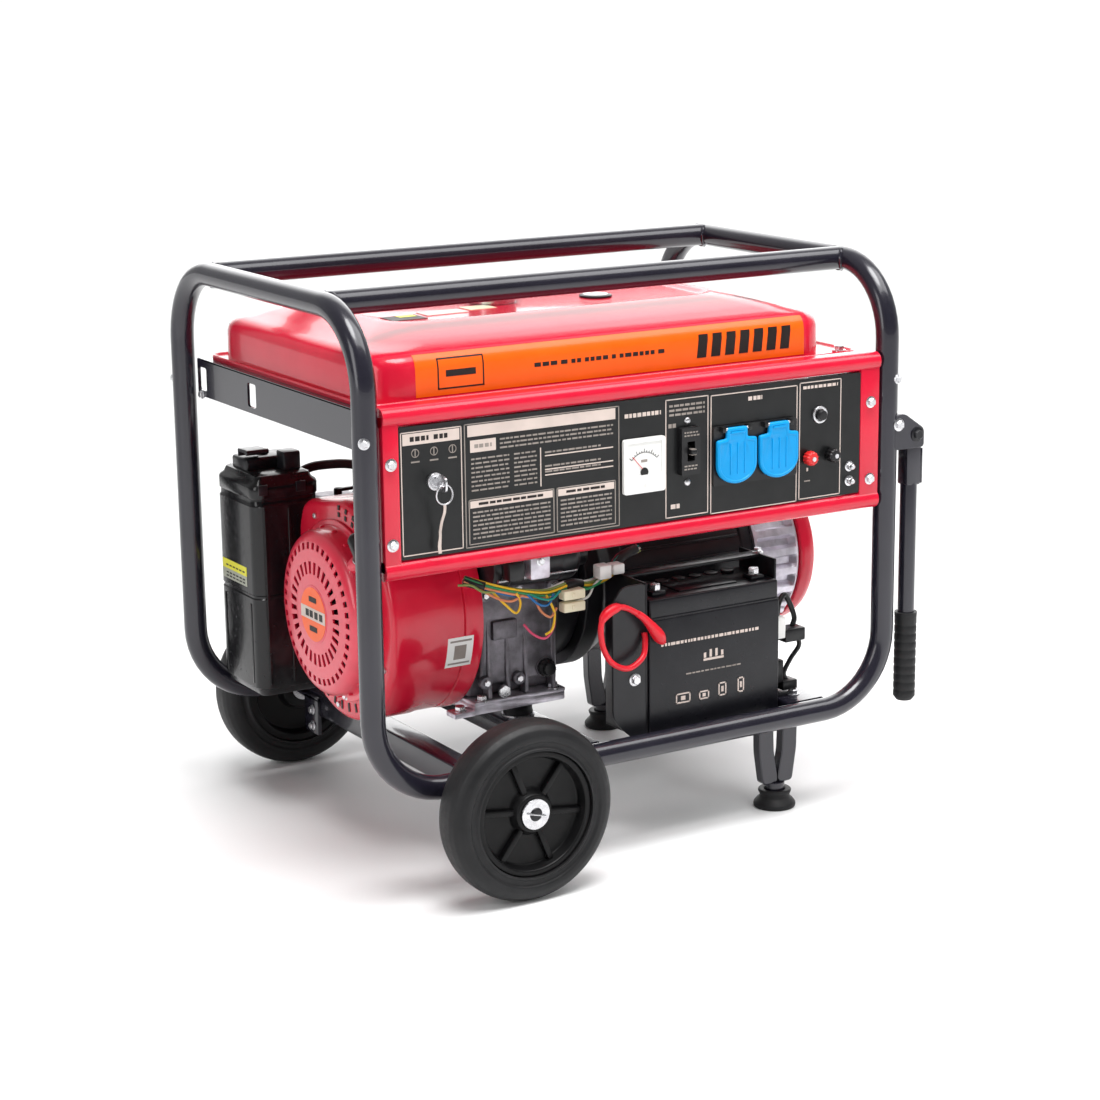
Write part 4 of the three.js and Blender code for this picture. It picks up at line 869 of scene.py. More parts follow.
def print_panel(plate):
    draw = random.Random(11)
    outline_box(plate, -301, -229, 383, 514)
    patch(plate, -298.5, -231.5, 500, 512)
    text_row(plate, draw, -290, -268, 503.5, 5, INK_AND_SLOT_SHADE, lift=0.15, words=(4, 5.5))
    text_row(plate, draw, -262, -243, 503.5, 5, INK_AND_SLOT_SHADE, lift=0.15, words=(4, 5.5))
    for x in (-284, -262, -240):
        ring = [(px, INK_Y, pz) for px, pz in circle(x, 491, 4.2, 20)]
        plate.tube([*ring, ring[0]], 0.45, PRINT_DIM, sides=6)
        patch(plate, x - 0.6, x + 0.6, 487.5, 494.5, PRINT_DIM)
        patch(plate, x - 5, x + 5, 481, 482.6, PRINT_DIM)

    outline_box(plate, -226, -34, 382, 515, finish=PRINT_DIM)
    patch(plate, -222, -39, 501, 513)
    patch(plate, -219, -188, 484, 497)
    text_row(plate, draw, -214, -193, 488.5, 4, PRINT_DIM, lift=0.15, words=(4, 5))
    for k in range(3):
        text_row(plate, draw, -183, -42, 494 - k * 4.6, 1.8, PRINT_DIM)
    for k in range(8):
        z = 476 - k * 4.8
        text_row(plate, draw, -218, -172, z, 1.7, PRINT_DIM)
        text_row(plate, draw, -166, -138, z, 1.7, PRINT_DIM)
    patch(plate, -134, -132.8, 438, 480, PRINT)
    for z in (470, 455, 449):
        patch(plate, -128, -42, z, z + 1.2, PRINT)
        text_row(plate, draw, -128, -58, z + 3.4, 1.8, PRINT_DIM)
    outline_box(plate, -222, -117, 385, 434, finish=PRINT_DIM)
    outline_box(plate, -114, -39, 385, 434, finish=PRINT_DIM)
    for x0, x1 in ((-220, -119), (-112, -41)):
        patch(plate, x0, x1, 424.5, 432)
        text_row(plate, draw, x0 + 10, x1 - 12, 427, 2.8, INK_AND_SLOT_SHADE, lift=0.15, words=(5, 12))
        for k in range(7):
            text_row(plate, draw, x0 + 3, x1 - 3, 418.5 - k * 4.6, 1.8, PRINT_DIM)

    text_row(plate, draw, -27, 20, 500, 4.5, PRINT, words=(3.2, 5))
    outline_box(plate, 26, 83, 382, 515)
    for k in range(3):
        text_row(plate, draw, 31, 78, 506 - k * 5, 2.4, PRINT_DIM, words=(4, 8))
    text_row(plate, draw, 30, 42, 483, 4.5, PRINT_DIM, words=(4, 6))
    text_row(plate, draw, 33, 47, 392, 5, PRINT, words=(4, 7))
    for z in (489, 420):
        plate.screw((55, PLATE_Y, z), FORWARD, 4)
    outline_box(plate, 86, 205, 379.6, 514)
    text_row(plate, draw, 137, 156, 503, 4.5, PRINT, words=(4, 6))
    outline_box(plate, 208, 267, 381, 516)
    text_row(plate, draw, 213, 262, 508, 3.4, PRINT, words=(3, 6))
    patch(plate, 218.8, 221.2, 413, 417, PRINT)
    patch(plate, 216, 224, 401, 402.4, PRINT_DIM)


def build_meter():
    meter = Piece("meter_housing", stands_for=["voltmeter"], slot="white_plastic")
    meter.prism(rounded_outline(*METER, 3, steps=4), "Y", PLATE_Y - 0.3, PLATE_Y - 3.4, WHITE, bevel=0.6)
    rim = rounded_outline(*METER, 3, steps=4)
    window = rounded_outline(-26.5, 18.5, 436, 472.5, 2, steps=4)
    meter.prism(rim, "Y", PLATE_Y - 3.3, PLATE_Y - 4.9, WHITE, holes=[window])
    meter.box(-28, 20, PLATE_Y - 1, PLATE_Y + 30, 420, 473, BLACK, bevel=1)
    pivot_x, pivot_z, face = -4, 440, PLATE_Y - 3.6
    for k in range(13):
        turn = math.radians(40 + 100 * k / 12)
        r0, r1 = 21, 25 if k % 3 == 0 else 23
        a = (pivot_x + r0 * math.cos(turn), face, pivot_z + r0 * math.sin(turn))
        b = (pivot_x + r1 * math.cos(turn), face, pivot_z + r1 * math.sin(turn))
        meter.tube([a, b], 0.35, INK_AND_SLOT_SHADE, sides=6)
    arc = [(pivot_x + 21 * math.cos(t), face, pivot_z + 21 * math.sin(t)) for t in
           [math.radians(40 + 100 * k / 24) for k in range(25)]]
    meter.tube(arc, 0.3, INK_AND_SLOT_SHADE, sides=6)
    meter.tube([(pivot_x, face - 0.4, pivot_z), (pivot_x - 15, face - 0.4, pivot_z + 17)], 0.35,
               RED_PLASTIC, sides=6)
    meter.disc(5, 0, 1.2, 0.4, FORWARD, (pivot_x, PLATE_Y - 3.4, pivot_z - 1),
                 BLACK, sides=24)
    meter.screw((pivot_x, PLATE_Y - 4.6, 426), FORWARD, 2.6, WHITE)
    meter.box(-8, 0, face - 0.1, face + 0.4, 450, 453, PRINT_DIM, bevel=0)
    meter.done()


def build_breaker():
    x, z = BREAKER_X, BREAKER_Z
    body = Piece("breaker_housing", stands_for=["breaker"], slot="black_plastic")
    outline = rounded_outline(x - 12.4, x + 12.4, z - 26.4, z + 26.4, 1.2, steps=3)
    slot = rounded_outline(x - 5, x + 5, z - 11, z + 11, 1, steps=2)
    body.prism(outline, "Y", PLATE_Y - 7.9, PLATE_Y + 11, BLACK, holes=[slot])
    body.box(x - 12.4, x + 12.4, PLATE_Y + 11.5, PLATE_Y + 40, z - 26.4, z + 26.4, BLACK, bevel=1)
    # A dark sheet at the bottom of the lever's slot: painted shade in the recess.
    body.box(x - 5, x + 5, PLATE_Y + 10, PLATE_Y + 12, z - 11, z + 11, INK_AND_SLOT_SHADE, bevel=0)
    draw = random.Random(3)
    for row in (17, 20.5, -17, -20.5):
        at = x - 9
        while at < x + 8:
            width = draw.uniform(2, 4)
            body.box(at, at + width, PLATE_Y - 8.1, PLATE_Y - 7.8, z + row, z + row + 1.6, PRINT_DIM,
                     bevel=0)
            at += width + 1.2
    body.done()
    lever = Piece("breaker_lever_moulding", body="breaker_toggle", stands_for=["breaker_lever"],
                  slot="black_plastic")
    lever.disc(6, -4.4, 4.4, 0.5, "X", (x, PLATE_Y + 2, z), BLACK, sides=32)
    lever.prism(filleted([(PLATE_Y + 1, z - 4), (PLATE_Y - 15, z - 2.6), (PLATE_Y - 15, z + 2.6),
                          (PLATE_Y + 1, z + 4)],
                         1.6, closed=True), "X", x - 3.5, x + 3.5, BLACK, bevel=0.6)
    for k in range(3):
        lever.box(x - 3.2, x + 3.2, PLATE_Y - 13.6 + k * 2.2, PLATE_Y - 12.6 + k * 2.2, z - 3.4, z + 3.4,
                  PRINT_DIM, bevel=0.2)
    lever.done()


SOCKET_X = {"left": 116, "right": 173.5}
SOCKET_Z = 445
BORE_Z = SOCKET_Z - 3


def lid_outline(x, grow=0.0):
    """A tab at the top, square shoulders and a round foot."""
    half, tab = 27 - grow, 14 - grow
    top, shoulder, low = SOCKET_Z + 32 - grow, SOCKET_Z + 20 - grow, SOCKET_Z - 10
    outline = [(x + tab, shoulder), (x + tab, top), (x - tab, top), (x - tab, shoulder),
               (x - half, shoulder - 1.5), (x - half, low)]
    outline = filleted([(x + half, low), (x + half, shoulder - 1.5), *outline], 3, steps=3)
    foot = [(x - half * math.cos(t), low - (22 - grow) * math.sin(t)) for t in
            [math.pi * k / 20 for k in range(1, 20)]]
    return outline + foot


def build_sockets():
    block = Piece("socket_moulding", stands_for=["socket_block"], slot="black_plastic")
    x0, x1 = SOCKET_X["left"] - 28.4, SOCKET_X["right"] + 28.4
    face = PLATE_Y - 4
    outline = rounded_outline(x0, x1, SOCKET_Z - 33.4, SOCKET_Z + 33.4, 3, steps=4)
    bores = [circle(x, BORE_Z, 20.5, 48) for x in SOCKET_X.values()]
    block.prism(outline, "Y", face, face + 17.8, BLACK, holes=bores)
    block.box(x0, x1, face + 18, PLATE_Y + 30, SOCKET_Z - 33.4, SOCKET_Z + 33.4, BLACK, bevel=1)
    for x in SOCKET_X.values():
        block.collar(20.4, 22.6, -1.2, 0.5, 0.5, "Y", (x, face, BORE_Z), BLACK, sides=64)
        block.disc(20.4, 17.4, 18.4, 0, "Y", (x, face, BORE_Z), GLOSS_BLACK,
                     sides=48)
        for dx in (-9.5, 9.5):
            block.turned([(1.5, 16.8), (3.2, 16.8), (3.2, 17.6), (1.5, 17.6)], "Y",
                         (x + dx, face, BORE_Z), ZINC, sides=24, loop=True)
        for dz in (-18.5, 18.5):
            block.box(x - 3, x + 3, face + 6, face + 17.5, BORE_Z + dz - 0.8,
                      BORE_Z + dz + 0.8, ZINC, bevel=0.3)
        for side in (-1, 1):
            ear = x + side * 17.5
            block.box(ear - 2.4, ear + 2.4, face - 5.9, face + 1, SOCKET_Z + 27, SOCKET_Z + 33.4, BLACK,
                      bevel=0.8)
    block.done()
    for side, x in SOCKET_X.items():
        lid = Piece(f"{side}_lid_moulding", body=f"{side}_lid", stands_for=[f"{side}_socket_lid"],
                    slot="blue_plastic")
        front, back = face - 7, face - 1.2
        rings = []
        for y, grow in ((back, 1.2), (back - 0.8, 0.2), (front + 2.2, 0), (front + 1, 0.7),
                        (front + 0.5, 2.0), (front + 0.5, 3.4), (front + 1.1, 4.0)):
            rings.append([(px, y, pz) for px, pz in lid_outline(x, grow)])
        lid.skin(rings, BLUE)
        for dx in (-9.5, 0, 9.5):
            lid.box(x + dx - 0.7, x + dx + 0.7, front + 0.2, front + 1.4, SOCKET_Z - 21, SOCKET_Z + 14,
                    BLUE, bevel=0.3)
        lid.box(x - 9, x + 9, front + 0.1, front + 1.4, SOCKET_Z + 25, SOCKET_Z + 27.5, BLUE, bevel=0.4)
        lid.disc(1.9, -19.6, 19.6, 0, "X", (x, face - 3.5, SOCKET_Z + 30), ZINC,
                   sides=16)
        lid.done()


def build_controls():
    for name, body, x, finish, slot in (("red", "red_post", 220, RED_PLASTIC, "red_plastic"),
                                        ("black", "black_post", 252, BLACK, "black_plastic")):
        knob = Piece(f"{name}_terminal_knob", body=body, stands_for=[f"dc_terminal_{name}"], slot=slot)
        knob.turned(filleted([(0, 0.4), (6.8, 0.4), (8.4, 3), (8.4, 10), (6.6, 12.6), (0, 12.6)], 1),
                    FORWARD, (x, PLATE_Y, TERMINAL_Z), finish, sides=96, flutes=12, flute_depth=0.9)
        knob.disc(2.6, 12.4, 14, 0, FORWARD, (x, PLATE_Y, TERMINAL_Z), ZINC, sides=24)
        knob.disc(3.3, -14, 0.6, 0, FORWARD, (x, PLATE_Y, TERMINAL_Z), ZINC, sides=24)
        knob.done()
    button = Piece("reset_button_cap", body="reset_button", stands_for=["dc_reset_button"],
                   slot="black_plastic")
    button.turned(filleted([(0, -12), (5.8, -12), (5.8, 8.2), (4.4, 9), (0, 9)], 0.8), FORWARD,
                  (RESET_X, PLATE_Y, RESET_Z), BLACK, sides=40)
    button.done()
    key = Piece("key_blade_and_bow", body="key", stands_for=["ignition_key"], slot="steel")
    bow = filleted([(PLATE_Y - 26, 452), (PLATE_Y - 13, 449), (PLATE_Y - 8, 455), (PLATE_Y + 13, 455.4),
                    (PLATE_Y + 13, 462.6), (PLATE_Y - 8, 463), (PLATE_Y - 13, 469), (PLATE_Y - 26, 466)], 4,
                   closed=True, steps=4)
    hole = circle(PLATE_Y - 21, 459, 3, 20)
    key.prism(bow, "X", KEY_X - 1.1, KEY_X + 1.1, ZINC, holes=[hole])
    key.done()

    ring_z = 448.5
    fob = Piece("key_ring_and_strap", body="key", slot="steel")
    loop = []
    for k in range(37):
        turn = 2 * math.pi * k / 36
        loop.append((KEY_X + 9.5 * math.sin(turn), PLATE_Y - 21 + 0.4 * math.sin(2 * turn),
                     ring_z + 10.4 * math.cos(turn)))
    fob.tube(loop, 0.9, ZINC, sides=10)
    strap = [(KEY_X + 0.6 * math.sin(k * 0.9), PLATE_Y - 21 + 12 * min(1, k / 8) ** 1.5,
              ring_z - 10.4 - k * 3.9)
             for k in range(15)]
    rings = []
    for k, (px, py, pz) in enumerate(strap):
        half = 1.5 if k < 11 else 1.875
        rings.append([(px - half, py - 0.4, pz), (px + half, py - 0.4, pz), (px + half, py + 0.4, pz),
                      (px - half, py + 0.4, pz)])
    fob.skin(rings, PRINT)
    fob.done()


# ---------------------------------------------------------------- engine
CASE_WALL_X = -30
DIPSTICK_AT = (-54, 0, 194)
STARTER_Y, STARTER_Z = -132, 330
CARB_X, CARB_Y, CARB_Z = -185, 156, 346


def build_crankcase():
    case = Piece("crankcase_casting", stands_for=["crankcase"], slot="cast_aluminium")
    case.box(-149.5, CASE_WALL_X, -96, 84, 168, 344, ALUMINIUM, bevel=7, segments=3)
    case.box(-138, CASE_WALL_X - 10, -106, 70, 182, 298, ALUMINIUM, bevel=6, segments=3)
    # The base flange takes the lighter casting colour: a painted highlight where overhead light catches it,
    # on the same casting as the darker body.
    case.box(-149.6, CASE_WALL_X, -111.6, 104, 152.4, 164, SILVER_CAST_AND_FLANGE_HIGHLIGHT, bevel=2.5)
    case.box(-149.4, CASE_WALL_X - 0.2, -111.9, 104.2, 162.5, 167.4, SILVER_CAST_AND_FLANGE_HIGHLIGHT, bevel=1.2)
    case.turned(filleted([(18, -149), (90, -149), (91.6, -146), (91.6, -33), (18, -33)], 2, closed=True),
                *ON_SHAFT, ALUMINIUM, sides=72, loop=True)
    case.turned(filleted([(18, -34), (90, -34), (91.6, -31), (91.6, -2), (89, -0.4), (18, -0.4)], 2,
                         closed=True),
                *ON_SHAFT, STEEL_BLACK, sides=72, loop=True)
    for x in (-128, -104, -80, -44):
        outline = filleted([(-96, 166), (-111, 168), (-107.5, 230), (-104, 300), (-96, 322)], 3)
        case.prism(outline, "X", x - 2.4, x + 2.4, ALUMINIUM, bevel=0.9)
    for x, z in ((-133, 188), (-133, 290), (-90, 293), (-44, 290), (-90, 187)):
        case.turned(filleted([(0, 104), (8, 104), (7.4, 111), (0, 111)], 1), FORWARD, (x, 0, z),
                    ALUMINIUM, sides=28)
        case.bolt((x, -110.6, z), FORWARD, 8, washer=False)
    for x in (-136, -42):
        for y in (-104, 96):
            case.bolt((x, y, 167), "Z", 12, height=5)
    case.disc(8, 111, 116, 0.8, FORWARD, (-112, 0, 176), ZINC, sides=6)
    case.box(-124, -92, -111.4, -104, 236, 258, ALUMINIUM, bevel=2)
    case.collar(8.8, 12, 104, 107.6, 0.6, FORWARD, DIPSTICK_AT, ALUMINIUM, sides=36)
    case.done()
    lug = Piece("engine_foot_lug", slot="cast_aluminium")
    # The foot lug, level with the base flange, takes the same lighter colour: a painted highlight.
    lug.box(-176, -149, -113, -92, 152.6, 159, SILVER_CAST_AND_FLANGE_HIGHLIGHT, bevel=1.5)
    lug.bolt((-164, -103, 159), "Z", 12)
    lug.done()
    stick = Piece("dipstick_cap", body="dipstick", stands_for=["oil_dipstick"], slot="black_plastic")
    stick.turned(filleted([(0, 108.4), (11, 108.4), (11, 113), (8, 114), (8, 120), (0, 120)], 1.2), FORWARD,
                 DIPSTICK_AT, BLACK, sides=96, flutes=16, flute_depth=0.7)
    stick.disc(8, 96, 109, 0, FORWARD, DIPSTICK_AT, BLACK, sides=40)
    stick.done()


def build_starter():
    motor = Piece("starter_casing", stands_for=["starter_motor"], slot="black_steel")
    profile = [(0, -145.8), (22, -145.8), (25, -143), (27.6, -139), (27.6, -126), (26.6, -124), (26.6, -60),
               (27.8, -58), (27.8, -42), (24, -35), (15, -34), (14.6, -19), (0, -19)]
    motor.turned(filleted(profile, 1.6), "X", (0, STARTER_Y, STARTER_Z), STEEL_BLACK, sides=64)
    for dy, dz in ((0, 27), (-23, -13), (23, -13)):
        y, z = STARTER_Y + dy, STARTER_Z + dz
        motor.tube([(-142, y, z), (-40, y, z)], 2, ZINC, sides=12)
    motor.box(-92, -46, STARTER_Y - 18, STARTER_Y + 20, STARTER_Z + 20, STARTER_Z + 27.4, STEEL_BLACK,
              bevel=2)
    motor.done()


def build_cylinder():
    leaned = turned_at(ON_SHAFT[1], math.radians(25))
    barrel = Piece("cylinder_casting", stands_for=["cylinder"], slot="cast_aluminium")
    shapes = [barrel.box(-128, -24, 92.4, 206, -40, 44, ALUMINIUM, bevel=5, segments=3)]
    for k in range(12):
        y = 98 + k * 8.3
        shapes.append(barrel.box(-137.5, -14.5, y, y + 2.6, -49.5, 53.5, ALUMINIUM, bevel=1))
    shapes.append(barrel.box(-121.5, -30.5, 200, 222, -33.5, 37.5, ALUMINIUM, bevel=7, segments=3))
    shapes.append(barrel.box(-123, -29, 204, 208, -35, 39, MACHINED, bevel=1))
    for faces in shapes:
        barrel.placed(faces, leaned)
    for x, z in ((-112, -24), (-40, -24), (-112, 28), (-40, 28)):
        centre = leaned @ Vector((x, 221.6, z))
        barrel.bolt(centre, leaned.to_3x3() @ Vector((0, 1, 0)), 9, washer=False)
    plug = leaned @ Vector((0, 180, 8))
    barrel.turned(filleted([(0, -22), (8.8, -22), (8.8, -6), (6, -4), (6, 8), (8.5, 9), (8.5, 17.5),
                            (0, 17.5)], 0.8),
                  "X", plug, WHITE, sides=32)
    barrel.done()


def vented_disc(piece, rings, sectors, solid_at, depth, finish):
    """A dished face of [radius, x] rings with open cells, and a thin wall behind it."""
    turns = [2 * math.pi * k / sectors for k in range(sectors)]
    fronts = [[piece.mesh.verts.new(on_ring(x, r, turn)) for turn in turns] for r, x in rings]
    backs = [[piece.mesh.verts.new(on_ring(x + depth, r, turn)) for turn in turns] for r, x in rings]
    filled = {(i, k) for i in range(len(rings) - 1) for k in range(sectors) if solid_at(i, k)}
    faces = []
    last = len(rings) - 2
    for i, k in filled:
        j = (k + 1) % sectors
        faces.append(piece.mesh.faces.new((fronts[i][k], fronts[i][j], fronts[i + 1][j], fronts[i + 1][k])))
        faces.append(piece.mesh.faces.new((backs[i][k], backs[i + 1][k], backs[i + 1][j], backs[i][j])))
        if i == 0 or (i - 1, k) not in filled:
            faces.append(piece.mesh.faces.new((fronts[i][k], backs[i][k], backs[i][j], fronts[i][j])))
        if i == last or (i + 1, k) not in filled:
            faces.append(piece.mesh.faces.new((fronts[i + 1][k], fronts[i + 1][j], backs[i + 1][j],
                                               backs[i + 1][k])))
        if (i, (k - 1) % sectors) not in filled:
            faces.append(piece.mesh.faces.new((fronts[i][k], fronts[i + 1][k], backs[i + 1][k],
                                               backs[i][k])))
        if (i, j) not in filled:
            faces.append(piece.mesh.faces.new((fronts[i][j], backs[i][j], backs[i + 1][j],
                                               fronts[i + 1][j])))
    bmesh.ops.delete(piece.mesh, geom=[v for row in fronts + backs for v in row if not v.link_faces],
                     context="VERTS")
    return piece.paint(faces, finish)


RECOIL_X = -296
HOUSING_X0, HOUSING_X1, HOUSING_R = -262, -150, 128


def build_recoil():
    cover = Piece("recoil_moulding", stands_for=["recoil_cover"], slot="red_paint")
    profile = [(33, 0), (38, 0.2), (43, 0.6), (46, 0.9), (60, 1.5), (64, 1.8), (71, 2.2), (74, 2.5),
               (81.5, 3.4), (86, 4.6), (91, 7.6), (94.2, 12)]
    rings = [(radius, RECOIL_X + along) for radius, along in profile]

    def solid_at(ring, sector):
        if ring in (3, 5):
            return sector % 8 in (0, 1, 2, 3) if ring == 3 else True
        if ring == 7:
            return sector % 6 in (0, 1, 2)
        return True

    vented_disc(cover, rings, 240, solid_at, 2.4, RECOIL_RED)
    cover.turned(filleted([(94, -284.4), (95, -281), (96.6, -268), (98, -265.8), (103.8, -265.4),
                           (103.8, -262.5), (95, -262.5), (93, -268), (91.6, -284)], 1.2, closed=True),
                 *ON_SHAFT, RECOIL_RED, sides=120, loop=True)
    for k in range(20):
        turn = 2 * math.pi * (k + 0.5) / 20
        faces = cover.box(-3, 3, -1.6, 1.6, 0, 12, RECOIL_RED, bevel=1)
        cover.placed(faces, turned_at((-275, SHAFT_Y, SHAFT_Z), turn)
                     @ Matrix.Translation((0, 0, 86)))
    for k in range(3):
        turn = 2 * math.pi * k / 3 + 0.4
        cover.bolt(on_ring(-265, 98.5, turn), (-1, 0, 0), 7)
    pull = turned_at(ON_SHAFT[1], math.pi / 4)
    eye = pull @ Vector((RECOIL_X + 20, 0, 89))
    line = pull.to_3x3() @ Vector((0, 0, 1))
    cover.turned(filleted([(0, -4), (10, -4), (9, 8), (7, 15.5), (0, 15.5)], 1.5), line, eye, RECOIL_RED,
                 sides=40)
    cover.turned(filleted([(3, 14), (6, 14), (6, 16), (3, 16)], 0.6, closed=True), line, eye, ZINC, sides=32,
                 loop=True)
    cover.done()

    badge = Piece("recoil_badge", slot="red_paint")
    badge.disc(33.4, -0.4, 1.6, 0.4, "X", (RECOIL_X, SHAFT_Y, SHAFT_Z),
                 RECOIL_RED, sides=80)
    badge.disc(31, -0.8, 0.2, 0, "X", (RECOIL_X, SHAFT_Y, SHAFT_Z), ORANGE, sides=72)
    half = 30
    badge.box(RECOIL_X - 1.1, RECOIL_X, SHAFT_Y - half, SHAFT_Y + half, SHAFT_Z - 7, SHAFT_Z + 7, PRINT,
              bevel=0)
    for y in (-20, -8, 4, 14):
        badge.box(RECOIL_X - 1.3, RECOIL_X, SHAFT_Y + y - 4, SHAFT_Y + y + 4, SHAFT_Z - 4, SHAFT_Z + 4,
                  INK_AND_SLOT_SHADE, bevel=0)
    for z in (17, -17):
        badge.box(RECOIL_X - 1.2, RECOIL_X, SHAFT_Y - 9, SHAFT_Y + 9, SHAFT_Z + z - 3, SHAFT_Z + z + 3,
                  INK_AND_SLOT_SHADE, bevel=0)
    badge.done()

    grip = Piece("pull_grip_moulding", body="starter_grip", stands_for=["pull_handle"], slot="black_plastic")
    centre = Vector((RECOIL_X + 20, 0, 0))
    faces = grip.turned(filleted([(0, 105.4), (6, 105.4), (7.6, 113), (0, 113)], 1), "Z", centre, BLACK,
                        sides=32)
    grip.placed(faces, pull)
    bar = rounded_outline(centre.x - 9, centre.x + 9, -26, 26, 8, steps=6)
    rounding = ((111.4, 3), (113, 1), (115, 0), (121, 0), (123, 1), (125, 3.4))
    grip.placed(grip.skin(stacked(bar, rounding), BLACK), pull)
    grip.done()


HOUSING_BACK_Y = 97
SHROUD_END_X = -172


def housing_outline(with_shroud):
    """Round the blower housing's section: the drum's arc, then the flat back with its raised corner."""
    last = 2 * math.pi - math.acos((HOUSING_BACK_Y - SHAFT_Y) / HOUSING_R)
    arc = []
    for k in range(97):
        turn = math.pi / 2 + (last - math.pi / 2) * k / 96
        arc.append(on_ring(0, HOUSING_R, turn)[1:])
    corner = [arc[-1], (HOUSING_BACK_Y, 352), (86, 376), (72, 384), arc[0]]
    back = filleted(corner, 10, steps=4)[1:-1]
    if not with_shroud:
        on_drum = []
        for y, z in back:
            reach = min(1, HOUSING_R / math.hypot(y - SHAFT_Y, z - SHAFT_Z))
            on_drum.append((SHAFT_Y + (y - SHAFT_Y) * reach, SHAFT_Z + (z - SHAFT_Z) * reach))
        back = on_drum
    return [*arc, *back]


def build_housing():
    drum = Piece("blower_pressing", stands_for=["blower_housing"], slot="red_paint")
    x0, x1 = HOUSING_X0, HOUSING_X1
    full, plain = housing_outline(True), housing_outline(False)

    def ring(outline, x, inset):
        return [(x, y, z) for y, z in inset_outline(outline, inset)]

    def intake(x, radius):
        hole = []
        for y, z in full:
            turn = math.atan2(z - SHAFT_Z, y - SHAFT_Y)
            hole.append(on_ring(x, radius, turn))
        return hole

    rings = [intake(x0 + 3, 81), intake(x0, 81), ring(full, x0, 9), ring(full, x0 + 1, 5),
             ring(full, x0 + 3.4, 2), ring(full, x0 + 7.5, 0.4), ring(full, x0 + 12, 0),
             ring(full, x0 + 58, 0), ring(full, x0 + 61, 1.4), ring(full, SHROUD_END_X - 2, 1.4),
             ring(full, SHROUD_END_X, 3), ring(plain, SHROUD_END_X + 1, 1.4), ring(plain, x1 - 12, 1.4),
             ring(plain, x1 - 9, 0), ring(plain, x1, 0), ring(plain, x1, 3), ring(plain, x0 + 14, 3.6),
             ring(plain, x0 + 3, 14)]
    drum.skin(rings, RED, loop=True)
    # Dark squares and slots on the drum's face: painted shade standing for its vent openings.
    for k in range(6):
        turn = math.radians(46 + 8.5 * k)
        for radius in (111, 119):
            y, z = SHAFT_Y - radius * math.cos(turn), SHAFT_Z + radius * math.sin(turn)
            faces = drum.box(-0.6, 0.8, -2.6, 2.6, -2.2, 2.2, INK_AND_SLOT_SHADE, bevel=0)
            drum.placed(faces, turned_at((x0 - 0.4, y, z), -turn))
    for k in range(8):
        turn = math.radians(250 + 9 * k)
        y, z = SHAFT_Y - 112 * math.cos(turn), SHAFT_Z + 112 * math.sin(turn)
        faces = drum.box(-0.6, 0.8, -5, 5, -1.8, 1.8, INK_AND_SLOT_SHADE, bevel=0)
        drum.placed(faces, turned_at((x0 - 0.2, y, z), -turn))
    for k in range(5):
        turn = 2 * math.pi * k / 5 + 2.3
        drum.bolt(on_ring(x0 + 1, 114, turn), (-1, 0, 0), 7)
    label_curve(drum, x0 + 68, x0 + 101)
    drum.done()


def label_curve(piece, x0, x1):
    """A small blank label wrapped on the drum's front, with dim printed marks."""
    def wrapped(x, degrees, lift):
        turn = math.radians(degrees)
        reach = HOUSING_R - 1.5 + lift
        return (x, SHAFT_Y - reach * math.cos(turn), SHAFT_Z + reach * math.sin(turn))

    def sheet(a, b, c, d, lift, finish):
        spans = [c + (d - c) * k / 6 for k in range(7)]
        outer = [wrapped(a, s, lift) for s in spans] + [wrapped(a, s, -0.5) for s in spans[::-1]]
        other = [wrapped(b, s, lift) for s in spans] + [wrapped(b, s, -0.5) for s in spans[::-1]]
        piece.skin([outer, other], finish)

    sheet(x0, x1, -24, -7, 0.35, WHITE)
    sheet(x0 + 9, x1 - 9, -19.5, -11.5, 0.6, PRINT_DIM)
    sheet(x0 + 3, x1 - 3, -22.4, -21.4, 0.6, PRINT_DIM)
    sheet(x0 + 3, x1 - 3, -9.6, -8.6, 0.6, PRINT_DIM)


